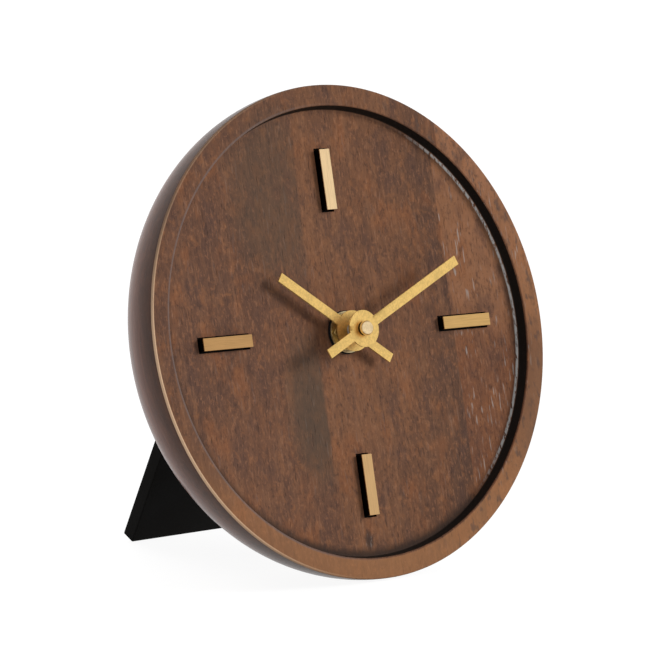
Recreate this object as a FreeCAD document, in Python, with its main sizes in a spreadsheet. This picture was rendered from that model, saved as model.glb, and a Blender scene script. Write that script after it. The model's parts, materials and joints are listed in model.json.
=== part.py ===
import FreeCAD, Part
import math
import os

import Sketcher

# Round turned wooden desk clock on a folding easel leg, with its quartz movement.
# Every clock piece is drawn in the clock's own frame: X to three o'clock, Z to twelve,
# Y from the front rim straight back into the case. The frame is then leaned back on the table.
# A length whose name ends in "depth" is measured back from the plane of the front rim.

vector = FreeCAD.Vector
doc = FreeCAD.newDocument("desk_clock")
sheet = doc.addObject("Spreadsheet::Sheet", "dims")

# The driving dimensions, in millimetres and degrees.
SIZES = {
    "case_radius": 76.4,  # widest radius of the turned case
    "case_depth": 30,  # front rim to flat back
    "front_bevel": 0.6,  # bevel round the front outer edge
    "side_round": 36,  # radius of the bowed side, front to back
    "back_bevel": 1.6,  # bevel round the back edge
    "rim_width": 6.5,  # width of the flat front rim
    "dial_depth": 3.9,  # depth of the sunk dial
    "dial_taper": 0.7,  # how far the recess wall closes in towards the dial
    "dial_thickness": 6.1,  # wood left between dial and movement pocket
    "pocket_radius": 42,  # radius of the movement pocket
    "stand_flat": 0.3,  # depth of the small flat sanded under the case
    "case_lean": 14.3,  # lean of the case, degrees from upright
    "case_turn": 1.5,  # clockwise turn of the case on its stand, degrees
    "marker_length": 18.8,  # hour bar, along the radius
    "marker_width": 3.9,  # hour bar, across
    "marker_inset": 12.5,  # outer end of a bar to the recess wall
    "marker_proud": 2.3,  # height of a bar above the dial
    "marker_sunk": 1.6,  # depth of a bar in its slot
    "marker_gap": 0.35,  # gap between a bar and its slot, each side
    "marker_bevel": 0.2,  # bevel round the face of a bar
    "minutes_past": 10.87,  # minutes past ten that the hands show
    "hand_width": 3,  # width of both hands
    "hand_sheet": 0.5,  # thickness of both hands
    "hour_reach": 31.5,  # hour hand, axis to tip
    "hour_tail": 16.4,  # hour hand, axis to tail end
    "hour_eye": 6.3,  # radius of the hour hand's eye
    "hour_height": 0.45,  # face of the hour hand in front of the rim
    "minute_reach": 44.4,  # minute hand, axis to tip
    "minute_tail": 16.3,  # minute hand, axis to tail end
    "minute_eye": 5.7,  # radius of the minute hand's eye
    "minute_height": 5.6,  # face of the minute hand in front of the rim
    "dish_radius": 4.2,  # outer radius of the dish in the minute hand's eye
    "dish_floor": 2.6,  # radius of the dish's flat floor
    "dish_sink": 0.35,  # depth of that dish
    "collet_radius": 3.1,  # radius of the collets behind the hands
    "collet_length": 1.6,  # length of the collet behind the minute hand
    "collet_gap": 0.15,  # hour hand's collet to the bushing
    "cap_radius": 2.25,  # radius of the cap on the minute arbor
    "cap_height": 2.2,  # cap above the face of the minute hand
    "cap_dome": 0.5,  # rise of the cap's dome
    "cap_crown": 0.12,  # rise of the crown inside that dome
    "cap_neck": 0.7,  # taper below the cap, down to the arbor
    "rubber_radius": 9.2,  # rubber washer on the dial
    "rubber_sheet": 0.8,  # thickness of the rubber washer
    "washer_radius": 7.8,  # brass washer on the rubber one
    "washer_sheet": 0.5,  # thickness of the brass washer
    "nut_flats": 11,  # mounting nut across its flats
    "nut_height": 1.6,  # thickness of the mounting nut
    "nut_bevel": 0.35,  # bevel round the face of the nut
    "bushing_radius": 3.95,  # threaded bushing of the movement
    "bushing_tip": 0.7,  # depth of the bushing's front end
    "bushing_fit": 0.05,  # radial gap from bushing to nut and washers
    "shaft_hole": 4.3,  # radius of the hole through the dial
    "back_shell": 6,  # depth of the movement's back housing
    "shell_corner": 3,  # corner radius of the movement
    "shell_wall": 1.2,  # wall of the movement's housings
    "bay_gap": 0.1,  # gap from the cell to the wall above its bay
    "bearing_depth": 0.8,  # depth of a pivot hole in the front housing
    "boss_radius": 1.2,  # radius of the bearing bosses in the back housing
    "boss_length": 2,  # length of the bearing bosses
    "run_fit": 0.06,  # radial gap of every running fit
    "end_play": 0.1,  # gap from an arbor's or a screw's end to the floor of its hole
    "tube_radius": 2.6,  # outside of the hour wheel's tube
    "arbor_radius": 1.5,  # outside of the minute arbor
    "pin_arbor": 0.4,  # radius of the thin wheel arbors
    "knob_arbor": 0.7,  # radius of the motion wheel's arbor
    "sleeve_over": 0.2,  # minute arbor past the centre wheel
    "seconds_back": 0.5,  # seconds arbor behind the front of the minute arbor's bore
    "wheel_sheet": 0.7,  # thickness of the wheels
    "leaf_length": 1.2,  # length of the pinions
    "motion_pitch": 0.36,  # tooth module, cannon pinion to motion wheel
    "centre_pitch": 0.22,  # tooth module, third pinion to centre wheel
    "seconds_pitch": 0.3333,  # tooth module, fifth pinion to seconds wheel
    "rotor_pitch": 0.22,  # tooth module, rotor pinion to fifth wheel
    "third_bearing": 135,  # direction of the third wheel from the centre, degrees
    "fifth_bearing": 60,  # direction of the fifth wheel from the centre, degrees
    "rotor_bearing": 30,  # direction of the rotor from the fifth wheel, degrees
    "magnet_radius": 2.5,  # rotor magnet
    "magnet_length": 1.8,  # rotor magnet
    "stator_sheet": 1,  # thickness of the stator lamination
    "stator_gap": 0.5,  # air gap round the magnet
    "limb_width": 3.6,  # width of the stator's side limbs and arm
    "yoke_above": 1.8,  # stator above the magnet's hole
    "yoke_below": 2.2,  # stator below the magnet's hole
    "yoke_beside": 1.6,  # stator beside the fifth wheel's boss
    "arm_rise": 0.4,  # bottom of the arm above the fifth wheel's arbor
    "coil_radius": 2.6,  # outside of the winding
    "cheek_radius": 3.2,  # bobbin's cheeks
    "coil_left": -9.2,  # left end of the core, from the centre
    "coil_right": 13.2,  # right end of the core, from the centre
    "coil_gap": 0.2,  # gap from the bobbin's ends to the limbs
    "core_fit": 0.1,  # gap from the core's corners to its bore
    "coil_height": 21,  # height of the coil above the centre
    "cheek_sheet": 0.8,  # thickness of the bobbin's cheeks
    "core_width": 3.2,  # width of the core through the coil
    "board_clear": 0.4,  # gap from the circuit board to the stator
    "board_height": 20,  # circuit board, upwards
    "board_sheet": 1,  # thickness of the circuit board
    "board_gap": 0.3,  # gap from the circuit board to the walls beside it
    "chip_radius": 3.2,  # drop of resin over the chip
    "chip_rise": 1.1,  # height of that drop
    "chip_slope": 0.8,  # slope round that drop
    "chip_up": 6,  # drop of resin above the board's lower edge
    "crystal_radius": 1,  # can of the quartz crystal
    "crystal_length": 6,  # can of the quartz crystal
    "crystal_up": 15,  # quartz crystal above the board's lower edge
    "battery_radius": 7.1,  # AA cell
    "battery_length": 50.5,  # AA cell over its button
    "battery_bevel": 0.5,  # rolled edges of the cell
    "bay_ledge": 1,  # ledge left round the opening over the cell
    "battery_fit": 0.3,  # gap all round the cell in its bay
    "contact_room": 1.55,  # each end of the bay, for the sprung contact
    "button_radius": 2.7,  # button on the cell's positive end
    "button_length": 1.3,  # button on the cell's positive end
    "contact_sheet": 0.4,  # thickness of the battery contacts
    "contact_width": 7,  # width of the battery contacts
    "contact_gap": 0.05,  # gap from a contact to the wall and to the cell
    "contact_nose": 2,  # flat on the bend of a contact, where it meets the cell
    "knob_radius": 5,  # hand-setting knob
    "knob_length": 4.4,  # hand-setting knob
    "knob_gap": 0.5,  # movement to knob
    "flute_radius": 0.6,  # flutes round the knob
    "flute_out": 0.25,  # middle of a flute outside the knob
    "cover_radius": 46,  # black back cover
    "cover_sheet": 3,  # thickness of the back cover
    "cover_gap": 0.25,  # gap round the back cover in its rebate
    "knob_clear": 1.2,  # gap round the knob in the cover
    "screw_ring": 43.6,  # radius of the ring of cover screws
    "screw_bearing": 45,  # direction of the first cover screw, degrees from twelve
    "screw_radius": 1.1,  # wood screws
    "screw_head": 2.1,  # radius of the screw heads
    "screw_length": 9,  # cover screws
    "screw_tip": 1.4,  # taper at the end of the cover screws
    "screw_fit": 0.03,  # radial gap round a screw in its pilot hole
    "screw_slack": 0.15,  # radial gap round a screw in the plate that it clamps
    "leg_spread": 41.4,  # angle between the open leg and the flat back, degrees
    "leg_width": 46,  # width of the leg
    "leg_thickness": 5,  # thickness of the leg
    "leg_round": 0.5,  # rounding of the leg's long edges
    "hinge_height": 22.7,  # height of the hinge pin above the centre
    "pin_standoff": 3.4,  # hinge pin behind the bracket's plate
    "stop_gap": 0.05,  # gap left at the stop when the leg is open
    "knuckle_width": 30,  # width of the leg between the bracket's ears
    "shoulder_drop": 3.4,  # leg's shoulders below the hinge pin
    "bracket_sheet": 1,  # thickness of the steel hinge bracket
    "bracket_width": 38,  # width of the hinge bracket
    "bracket_above": 10,  # bracket's plate above the pin
    "bracket_below": 4.5,  # bracket's plate below the pin
    "ear_gap": 0.4,  # gap from the leg's knuckle to each ear
    "ear_reach": 2.2,  # radius of the ears round the pin
    "pin_radius": 1,  # hinge pin
    "pin_head": 1.6,  # radius of the pin's heads
    "pin_head_length": 0.6,  # length of the pin's heads
    "pin_head_wall": 0.3,  # upright wall of the pin's heads
    "pin_fit": 0.02,  # radial gap from the pin to the ears, and endwise to its heads
    "bracket_screw_across": 11,  # bracket screws, out from the middle
    "bracket_screw_up": 6.6,  # bracket screws, above the pin
    "bracket_screw_length": 3.4,  # bracket screws under their heads
    "bracket_screw_dome": 1.2,  # height of the bracket screws' heads
    "bracket_screw_wall": 0.5,  # upright wall of those heads
    "bracket_screw_crown": 1.2,  # radius of the flat on top of those heads
}
for row, (name, value) in enumerate(SIZES.items(), 1):
    sheet.set(f"A{row}", name)
    sheet.set(f"B{row}", str(value))
    sheet.setAlias(f"B{row}", name)
doc.recompute()

# Places that more than one piece shares, in words of the sheet.
BACK = "dims.case_depth"
FLOOR = "(dims.dial_depth + dims.dial_thickness)"
INNER_FRONT = f"({FLOOR} + dims.shell_wall)"
REAR = f"({INNER_FRONT} + 2 * (dims.battery_radius + dims.battery_fit))"
SEAM = f"({REAR} - dims.back_shell)"
INNER_REAR = f"({REAR} - dims.shell_wall)"
PIVOT_FRONT = f"({INNER_FRONT} - dims.bearing_depth)"
COVER_SEAT = f"({BACK} - dims.cover_sheet)"
RUBBER_FRONT = "(dims.dial_depth - dims.rubber_sheet)"
WASHER_FRONT = f"({RUBBER_FRONT} - dims.washer_sheet)"
NUT_FRONT = f"({WASHER_FRONT} - dims.nut_height)"
BRACKET_BACK = f"({BACK} + dims.bracket_sheet)"
PIN_DEPTH = f"({BRACKET_BACK} + dims.pin_standoff)"
LEG_TILT = "(dims.leg_spread - dims.case_lean)"
HEEL = (
    "((dims.pin_standoff - dims.stop_gap - dims.leg_thickness / 2 * cos(dims.leg_spread))"
    " / sin(dims.leg_spread))"
)
KNUCKLE = "dims.knuckle_width / 2"
EAR_INNER = f"({KNUCKLE} + dims.ear_gap)"
EAR_OUTER = f"({EAR_INNER} + dims.bracket_sheet)"
SIDE_CENTRE = "(dims.case_radius - dims.side_round)"
CAVITY = "(dims.battery_length / 2 + dims.contact_room)"
HALF = f"({CAVITY} + dims.shell_wall)"
BATTERY_DEPTH = f"({INNER_FRONT} + dims.battery_radius + dims.battery_fit / 2)"
BATTERY_HEIGHT = f"(dims.battery_radius + dims.battery_fit - {CAVITY})"
BAY_TOP = f"({BATTERY_HEIGHT} + dims.battery_radius + dims.bay_gap)"
BAY_WALL_TOP = f"({BAY_TOP} + dims.shell_wall)"

# The wheels lie one behind another, from the hour wheel to the stator, at even steps.
TRAIN_STEP = f"(({INNER_REAR} - {INNER_FRONT}) / 9.4)"
TRAIN_ORDER = ("hour", "motion", "centre", "third", "seconds", "fifth")
LEVELS = {
    wheel: f"({INNER_FRONT} + {place + 0.5} * {TRAIN_STEP})"
    for place, wheel in enumerate(TRAIN_ORDER)
}
STATOR_FRONT = f"({INNER_FRONT} + {len(TRAIN_ORDER) + 0.7} * {TRAIN_STEP})"

# The case touches the table where its bowed side is level, so its flat lies this far below
# the centre of the front rim.
DROP = (
    f"({SIDE_CENTRE} * cos(dims.case_lean) + dims.front_bevel * sin(dims.case_lean)"
    " + dims.side_round - dims.stand_flat)"
)
PIN_RISE = f"({DROP} + dims.hinge_height * cos(dims.case_lean) - {PIN_DEPTH} * sin(dims.case_lean))"
LEG_LENGTH = f"(({PIN_RISE} - dims.leg_thickness / 2 * sin({LEG_TILT})) / cos({LEG_TILT}))"

# Teeth of each meshing pair, driver first. The rotor makes half a turn a second.
CANNON_TEETH, MOTION_TEETH = 12, 36
MOTION_LEAVES, HOUR_TEETH = 10, 40
ROTOR_LEAVES, FIFTH_TEETH = 8, 48
FIFTH_LEAVES, SECONDS_TEETH = 8, 40
SECONDS_LEAVES, THIRD_TEETH = 8, 60
THIRD_LEAVES, CENTRE_TEETH = 8, 64


def number(words):
    """Works out an expression on the sheet."""
    found = sheet.evalExpression(words)
    return float(getattr(found, "Value", found))


MOTION_REACH = f"({CANNON_TEETH + MOTION_TEETH} / 2 * dims.motion_pitch)"
THIRD_REACH = f"({THIRD_LEAVES + CENTRE_TEETH} / 2 * dims.centre_pitch)"
FIFTH_REACH = f"({FIFTH_LEAVES + SECONDS_TEETH} / 2 * dims.seconds_pitch)"
ROTOR_REACH = f"({ROTOR_LEAVES + FIFTH_TEETH} / 2 * dims.rotor_pitch)"
HOUR_PITCH = number(MOTION_REACH) * 2 / (MOTION_LEAVES + HOUR_TEETH)
THIRD_PITCH = number(THIRD_REACH) * 2 / (SECONDS_LEAVES + THIRD_TEETH)

# Where each arbor stands, as (across, up) from the centre.
ARBORS = {
    "centre": ("0", "0"),
    "motion": (MOTION_REACH, "0"),
    "third": (
        f"({THIRD_REACH} * cos(dims.third_bearing))",
        f"({THIRD_REACH} * sin(dims.third_bearing))",
    ),
    "fifth": (
        f"({FIFTH_REACH} * cos(dims.fifth_bearing))",
        f"({FIFTH_REACH} * sin(dims.fifth_bearing))",
    ),
}
ARBORS["rotor"] = (
    f"({ARBORS['fifth'][0]} + {ROTOR_REACH} * cos(dims.rotor_bearing))",
    f"({ARBORS['fifth'][1]} + {ROTOR_REACH} * sin(dims.rotor_bearing))",
)

# The frames: the stand leans back with the case, the clock is turned a little on the stand,
# and the leg hangs from its pin. All are set on the table, midway between toe and foot.
X_AXIS = vector(1, 0, 0)
Y_AXIS = vector(0, 1, 0)
lean = FreeCAD.Rotation(X_AXIS, -number("dims.case_lean"))
turn = FreeCAD.Rotation(Y_AXIS, number("dims.case_turn"))
leg_swing = FreeCAD.Rotation(X_AXIS, number(LEG_TILT))
ACROSS_PIN = FreeCAD.Rotation(vector(0, 0, 1), -90)
pin_place = lean.multVec(vector(0, number(PIN_DEPTH), number("dims.hinge_height")))
foot_corner = vector(0, number("dims.leg_thickness") / 2, -number(LEG_LENGTH))
heel_back = pin_place.y + leg_swing.multVec(foot_corner).y
toe_front = (
    lean.multVec(vector(0, 0, number("dims.front_bevel - dims.case_radius"))).y
    + number("dims.front_bevel * cos(dims.case_lean) - dims.front_bevel")
)
centre_place = vector(0, -(heel_back + toe_front) / 2, number(DROP))
stand_frame = FreeCAD.Placement(centre_place, lean)
clock_frame = FreeCAD.Placement(centre_place, lean.multiply(turn))
leg_frame = FreeCAD.Placement(centre_place + pin_place, leg_swing)

pieces = {}


def at(frame, across="0", depth="0", up="0", rotation=None):
    """A place in a frame, with the piece turned there."""
    spot = vector(number(across), number(depth), number(up))
    return frame.multiply(FreeCAD.Placement(spot, rotation or FreeCAD.Rotation()))


def new_body(label, place):
    """Starts a sub-part."""
    made = doc.addObject("PartDesign::Body", label)
    made.Label = label
    made.Placement = place
    pieces[label] = made
    return made


def origin_plane(body, role):
    """One of the body's own origin planes."""
    return [plane for plane in body.Origin.OriginFeatures if plane.Role == role][0]


def new_sketch(body, role, name, offset="0"):
    """An empty sketch on an origin plane, moved along the plane's normal."""
    sketch = body.newObject("Sketcher::SketchObject", name)
    sketch.AttachmentSupport = (origin_plane(body, role), [""])
    sketch.MapMode = "FlatFace"
    sketch.setExpression("AttachmentOffset.Base.z", offset)
    return sketch


def pin_point(sketch, point, across, up):
    """Holds a point of a sketch at a place in words of the sheet."""
    for kind, axis, words in (("DistanceX", -2, across), ("DistanceY", -1, up)):
        if words == "0":
            sketch.addConstraint(Sketcher.Constraint("PointOnObject", *point, axis))
        else:
            index = sketch.addConstraint(
                Sketcher.Constraint(kind, -1, 1, *point, number(words))
            )
            sketch.setExpression(f"Constraints[{index}]", words)


def outline(sketch, corners):
    """A closed outline, anticlockwise. A third word at a corner makes the edge that leaves
    it an arc of that radius, bulging outwards, or inwards where the word starts with a minus."""
    spots = [vector(number(corner[0]), number(corner[1]), 0) for corner in corners]
    starts, ends = [], []
    for index, corner in enumerate(corners):
        here = spots[index]
        there = spots[(index + 1) % len(corners)]
        if len(corner) == 2:
            edge = sketch.addGeometry(Part.LineSegment(here, there), False)
        else:
            radius = number(corner[2])
            along = there - here
            half = along.Length / 2
            rise = abs(radius) - math.sqrt(max(radius * radius - half * half, 0))
            outward = vector(along.y, -along.x, 0).normalize()
            top = (here + there) * 0.5 + outward * math.copysign(rise, radius)
            edge = sketch.addGeometry(Part.Arc(here, top, there), False)
        forward = sketch.getPoint(edge, 1).distanceToPoint(here) < 1e-6
        starts.append((edge, 1 if forward else 2))
        ends.append((edge, 2 if forward else 1))
    for index, corner in enumerate(corners):
        follow = starts[(index + 1) % len(corners)]
        sketch.addConstraint(Sketcher.Constraint("Coincident", *ends[index], *follow))
        pin_point(sketch, starts[index], corner[0], corner[1])
        if len(corner) == 3:
            words = corner[2].lstrip("-")
            rule = sketch.addConstraint(
                Sketcher.Constraint("Radius", starts[index][0], number(words))
            )
            sketch.setExpression(f"Constraints[{rule}]", words)


def circle(sketch, across, up, radius):
    """A circle held at a place in words of the sheet."""
    spot = vector(number(across), number(up), 0)
    round_edge = Part.Circle(spot, vector(0, 0, 1), number(radius))
    edge = sketch.addGeometry(round_edge, False)
    pin_point(sketch, (edge, 3), across, up)
    rule = sketch.addConstraint(Sketcher.Constraint("Radius", edge, number(radius)))
    sketch.setExpression(f"Constraints[{rule}]", radius)


def rectangle(sketch, left, bottom, right, top):
    """An upright rectangle."""
    outline(sketch, [(left, bottom), (right, bottom), (right, top), (left, top)])


def rounded_square(sketch, half, radius):
    """A square on the origin with rounded corners."""
    inner = f"({half} - {radius})"
    outline(
        sketch,
        [
            (f"-{inner}", f"-{half}"),
            (inner, f"-{half}", radius),
            (half, f"-{inner}"),
            (half, inner, radius),
            (inner, half),
            (f"-{inner}", half, radius),
            (f"-{half}", inner),
            (f"-{half}", f"-{inner}", radius),
        ],
    )


def turned(body, name, corners, kind="Revolution"):
    """Turns an outline of (radius, depth) corners about the body's Y axis."""
    sketch = new_sketch(body, "XY_Plane", name + "_profile")
    outline(sketch, corners)
    made = body.newObject("PartDesign::" + kind, name)
    made.Profile = sketch
    made.ReferenceAxis = (sketch, ["V_Axis"])
    made.Angle = 360
    return made


def padded(body, name, draw, front, back, *words):
    """Draws on the plane at the front depth and fills back to the other depth."""
    sketch = new_sketch(body, "XZ_Plane", name + "_outline", f"-({front})")
    draw(sketch, *words)
    made = body.newObject("PartDesign::Pad", name)
    made.Profile = sketch
    made.Reversed = True
    made.setExpression("Length", f"({back}) - ({front})")
    return made


def cut(body, name, draw, front, back, *words):
    """Draws on the plane at the front depth and cuts back to the other depth."""
    sketch = new_sketch(body, "XZ_Plane", name + "_outline", f"-({front})")
    draw(sketch, *words)
    made = body.newObject("PartDesign::Pocket", name)
    made.Profile = sketch
    made.setExpression("Length", f"({back}) - ({front})")
    return made


def round_pattern(body, feature, name, count):
    """Repeats a feature evenly about the body's Y axis."""
    made = body.newObject("PartDesign::PolarPattern", name)
    made.Originals = [feature]
    made.Axis = (feature.Profile[0], ["N_Axis"])
    made.Angle = 360
    made.Occurrences = count
    body.Tip = made
    return made


def dress(body, kind, name, amount, wanted):
    """Rounds or bevels the edges of the body's tip that wanted picks."""
    doc.recompute()
    base = body.Tip
    names = [f"Edge{n}" for n, edge in enumerate(base.Shape.Edges, 1) if wanted(edge)]
    made = body.newObject("PartDesign::" + kind, name)
    made.Base = (base, names)
    made.setExpression("Radius" if kind == "Fillet" else "Size", amount)
    body.Tip = made
    return made


def ring_edge(radius, depth):
    """Picks the circle of that radius at that depth."""

    def wanted(edge):
        curve = edge.Curve
        return (
            isinstance(curve, Part.Circle)
            and abs(curve.Radius - number(radius)) < 1e-4
            and abs(edge.BoundBox.Center.y - number(depth)) < 1e-4
        )

    return wanted


def flat_edge(depth):
    """Picks every edge that lies wholly at that depth."""

    def wanted(edge):
        return all(abs(v.Point.y - number(depth)) < 1e-4 for v in edge.Vertexes)

    return wanted


# The case: one glued-up walnut block turned to a bowed disc, with a sunk dial in front,
# a movement pocket and a rebate for the cover behind, and four slots for the hour bars.
RECESS = "(dims.case_radius - dims.rim_width)"
REBATE = "(dims.cover_radius + dims.cover_gap)"
BACK_EDGE = (
    f"({SIDE_CENTRE} + sqrt(dims.side_round ^ 2 - ({BACK} - dims.front_bevel) ^ 2))"
)
case = new_body("case_turning", clock_frame)
turned(
    case,
    "case_profile",
    [
        ("dims.shaft_hole", "dims.dial_depth"),
        (f"{RECESS} - dims.dial_taper", "dims.dial_depth"),
        (RECESS, "0"),
        ("dims.case_radius - dims.front_bevel", "0"),
        ("dims.case_radius", "dims.front_bevel", "dims.side_round"),
        (BACK_EDGE, BACK),
        (REBATE, BACK),
        (REBATE, COVER_SEAT),
        ("dims.pocket_radius", COVER_SEAT),
        ("dims.pocket_radius", FLOOR),
        ("dims.shaft_hole", FLOOR),
    ],
)
MARKER_END = f"({RECESS} - dims.dial_taper - dims.marker_inset)"
SLOT_HALF = "(dims.marker_width / 2 + dims.marker_gap)"
SLOT_FLOOR = "(dims.dial_depth + dims.marker_sunk)"
slot = cut(
    case,
    "marker_slot",
    rectangle,
    "dims.dial_depth",
    SLOT_FLOOR,
    f"-{SLOT_HALF}",
    f"{MARKER_END} - dims.marker_length - dims.marker_gap",
    SLOT_HALF,
    f"{MARKER_END} + dims.marker_gap",
)
round_pattern(case, slot, "marker_slots", 4)
PILOT_BEARING = "(dims.screw_bearing - dims.case_turn)"
pilot = cut(
    case,
    "pilot_hole",
    circle,
    f"{BACK} - dims.screw_length",
    COVER_SEAT,
    f"dims.screw_ring * sin({PILOT_BEARING})",
    f"dims.screw_ring * cos({PILOT_BEARING})",
    "dims.screw_radius + dims.screw_fit",
)
round_pattern(case, pilot, "pilot_holes", 4)
dress(case, "Chamfer", "back_edge", "dims.back_bevel", ring_edge(BACK_EDGE, BACK))

# The case stands on a small flat, sanded where its bowed side meets the table.
table = doc.addObject("Part::Box", "table_plane")
TABLE_SPAN = 4 * number("dims.case_radius")
table.Length = TABLE_SPAN
table.Width = TABLE_SPAN
table.Height = TABLE_SPAN
table.Placement.Base = vector(-TABLE_SPAN / 2, -TABLE_SPAN / 2, -TABLE_SPAN)
wood_case = doc.addObject("Part::Cut", "wood_case")
wood_case.Label = "wood_case"
wood_case.Base = case
wood_case.Tool = table
del pieces["case_turning"]
pieces["wood_case"] = wood_case

# Four square brass bars, pressed into their slots and standing proud of the dial.
MARKER_FRONT = "(dims.dial_depth - dims.marker_proud)"
for hour in (12, 3, 6, 9):
    bearing = FreeCAD.Rotation(Y_AXIS, hour * 30)
    marker = new_body(f"marker_{hour}", at(clock_frame, rotation=bearing))
    padded(
        marker,
        "bar",
        rectangle,
        MARKER_FRONT,
        SLOT_FLOOR,
        "-dims.marker_width / 2",
        f"{MARKER_END} - dims.marker_length",
        "dims.marker_width / 2",
        MARKER_END,
    )
    dress(marker, "Chamfer", "bevel", "dims.marker_bevel", flat_edge(MARKER_FRONT))

# The mounting stack that clamps the movement to the dial.
BUSHING_BORE = "dims.bushing_radius + dims.bushing_fit"


def flat_ring(label, inner, outer, front, back, place):
    """A flat ring of square section."""
    body = new_body(label, place)
    turned(body, "ring", [(inner, front), (outer, front), (outer, back), (inner, back)])
    return body


flat_ring(
    "rubber_washer",
    BUSHING_BORE,
    "dims.rubber_radius",
    RUBBER_FRONT,
    "dims.dial_depth",
    clock_frame,
)
flat_ring(
    "brass_washer",
    BUSHING_BORE,
    "dims.washer_radius",
    WASHER_FRONT,
    RUBBER_FRONT,
    clock_frame,
)


def hexagon(sketch, flats):
    """A regular hexagon on the origin, by its width across flats."""
    corner = f"({flats} / sqrt(3))"
    corners = []
    for step in range(6):
        angle = step * 60
        across = "0" if angle % 180 == 90 else f"({corner} * cos({angle}))"
        up = "0" if angle % 180 == 0 else f"({corner} * sin({angle}))"
        corners.append((across, up))
    outline(sketch, corners)


nut = new_body("mounting_nut", clock_frame)
padded(nut, "blank", hexagon, NUT_FRONT, WASHER_FRONT, "dims.nut_flats")
cut(nut, "bore", circle, NUT_FRONT, WASHER_FRONT, "0", "0", BUSHING_BORE)
NUT_CORNER = "(dims.nut_flats / sqrt(3))"
turned(
    nut,
    "face_bevel",
    [
        ("dims.nut_flats / 2", NUT_FRONT),
        (f"{NUT_CORNER} + dims.nut_bevel", f"{NUT_FRONT} - dims.nut_bevel"),
        (f"{NUT_CORNER} + dims.nut_bevel", f"{NUT_FRONT} + dims.nut_bevel"),
    ],
    "Groove",
)

# The movement's front housing: a square moulded tray with the brass bushing moulded into
# it, pivot holes for the wheel arbors and a wall that parts off the battery bay.
TUBE_HOLE = "(dims.tube_radius + dims.run_fit)"
PIN_HOLE = "(dims.pin_arbor + dims.run_fit)"
KNOB_HOLE = "(dims.knob_arbor + dims.run_fit)"
INNER_CORNER = "(dims.shell_corner - dims.shell_wall)"
front_housing = new_body("movement_front_housing", clock_frame)
padded(front_housing, "tray", rounded_square, FLOOR, SEAM, HALF, "dims.shell_corner")
cut(front_housing, "cavity", rounded_square, INNER_FRONT, SEAM, CAVITY, INNER_CORNER)
padded(
    front_housing,
    "bay_wall",
    rectangle,
    INNER_FRONT,
    SEAM,
    f"-{CAVITY}",
    BAY_TOP,
    CAVITY,
    BAY_WALL_TOP,
)
cut(front_housing, "bore", circle, FLOOR, INNER_FRONT, "0", "0", "dims.bushing_radius")
for arbor, hole in (
    ("motion", KNOB_HOLE),
    ("third", PIN_HOLE),
    ("fifth", PIN_HOLE),
    ("rotor", PIN_HOLE),
):
    spot = ARBORS[arbor]
    cut(front_housing, arbor + "_pivot", circle, PIVOT_FRONT, INNER_FRONT, *spot, hole)
flat_ring(
    "threaded_bushing",
    TUBE_HOLE,
    "dims.bushing_radius",
    "dims.bushing_tip",
    INNER_FRONT,
    clock_frame,
)

# The movement's back housing: the lid, open over the battery, with bearing bosses.
BOSS_FRONT = f"({INNER_REAR} - dims.boss_length)"
back_housing = new_body("movement_back_housing", clock_frame)
padded(back_housing, "lid", rounded_square, SEAM, REAR, HALF, "dims.shell_corner")
cut(back_housing, "cavity", rounded_square, SEAM, INNER_REAR, CAVITY, INNER_CORNER)
for arbor in ("centre", "third", "fifth", "rotor"):
    spot = ARBORS[arbor]
    padded(
        back_housing,
        arbor + "_boss",
        circle,
        BOSS_FRONT,
        INNER_REAR,
        *spot,
        "dims.boss_radius",
    )
    cut(back_housing, arbor + "_hole", circle, BOSS_FRONT, INNER_REAR, *spot, PIN_HOLE)
cut(back_housing, "knob_hole", circle, INNER_REAR, REAR, *ARBORS["motion"], KNOB_HOLE)
cut(
    back_housing,
    "battery_opening",
    rectangle,
    INNER_REAR,
    REAR,
    f"-({CAVITY} - dims.bay_ledge)",
    f"-({CAVITY} - dims.bay_ledge)",
    f"{CAVITY} - dims.bay_ledge",
    f"{BAY_TOP} - dims.bay_ledge",
)

# The wheels. Teeth have straight flanks, thinned for backlash, on a wheel turned with its arbor.
TOOTH_FILL = 0.7
ROOT_SPREAD, TIP_SPREAD = 1.25, 0.45
ADDENDUM, DEDENDUM = 0.85, 1.25


def toothed(teeth, module, front, back, tooth_at):
    """A toothed disc about Y, with the middle of one tooth in the direction tooth_at."""
    pitch_radius = teeth * module / 2
    root = pitch_radius - DEDENDUM * module
    tip = pitch_radius + ADDENDUM * module
    half = math.pi / (2 * teeth) * TOOTH_FILL
    points = []
    for index in range(teeth):
        middle = math.radians(tooth_at) + 2 * math.pi * index / teeth
        for radius, offset in (
            (root, -half * ROOT_SPREAD),
            (tip, -half * TIP_SPREAD),
            (tip, half * TIP_SPREAD),
            (root, half * ROOT_SPREAD),
        ):
            angle = middle + offset
            points.append(vector(radius * math.cos(angle), front, radius * math.sin(angle)))
    points.append(points[0])
    return Part.Face(Part.makePolygon(points)).extrude(vector(0, back - front, 0))


def rod(radius, front, back):
    """A round rod about Y between two depths."""
    return Part.makeCylinder(radius, back - front, vector(0, front, 0), Y_AXIS)


def new_feature(label, shape, place):
    """A sub-part whose shape comes from a formula."""
    made = doc.addObject("Part::Feature", label)
    made.Label = label
    made.Shape = shape
    made.Placement = place
    pieces[label] = made


def wheel_on_arbor(label, arbor, solids, bore=None):
    """Joins a wheel, its pinion and arbor, and bores it where it is a sleeve."""
    shape = solids[0].multiFuse(solids[1:]).removeSplitter()
    if bore:
        shape = shape.cut(bore)
    across, up = ARBORS[arbor]
    new_feature(label, shape, at(clock_frame, across, "0", up))


def half_step(teeth):
    """Half the angle between two teeth, in degrees."""
    return 180 / teeth


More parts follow.
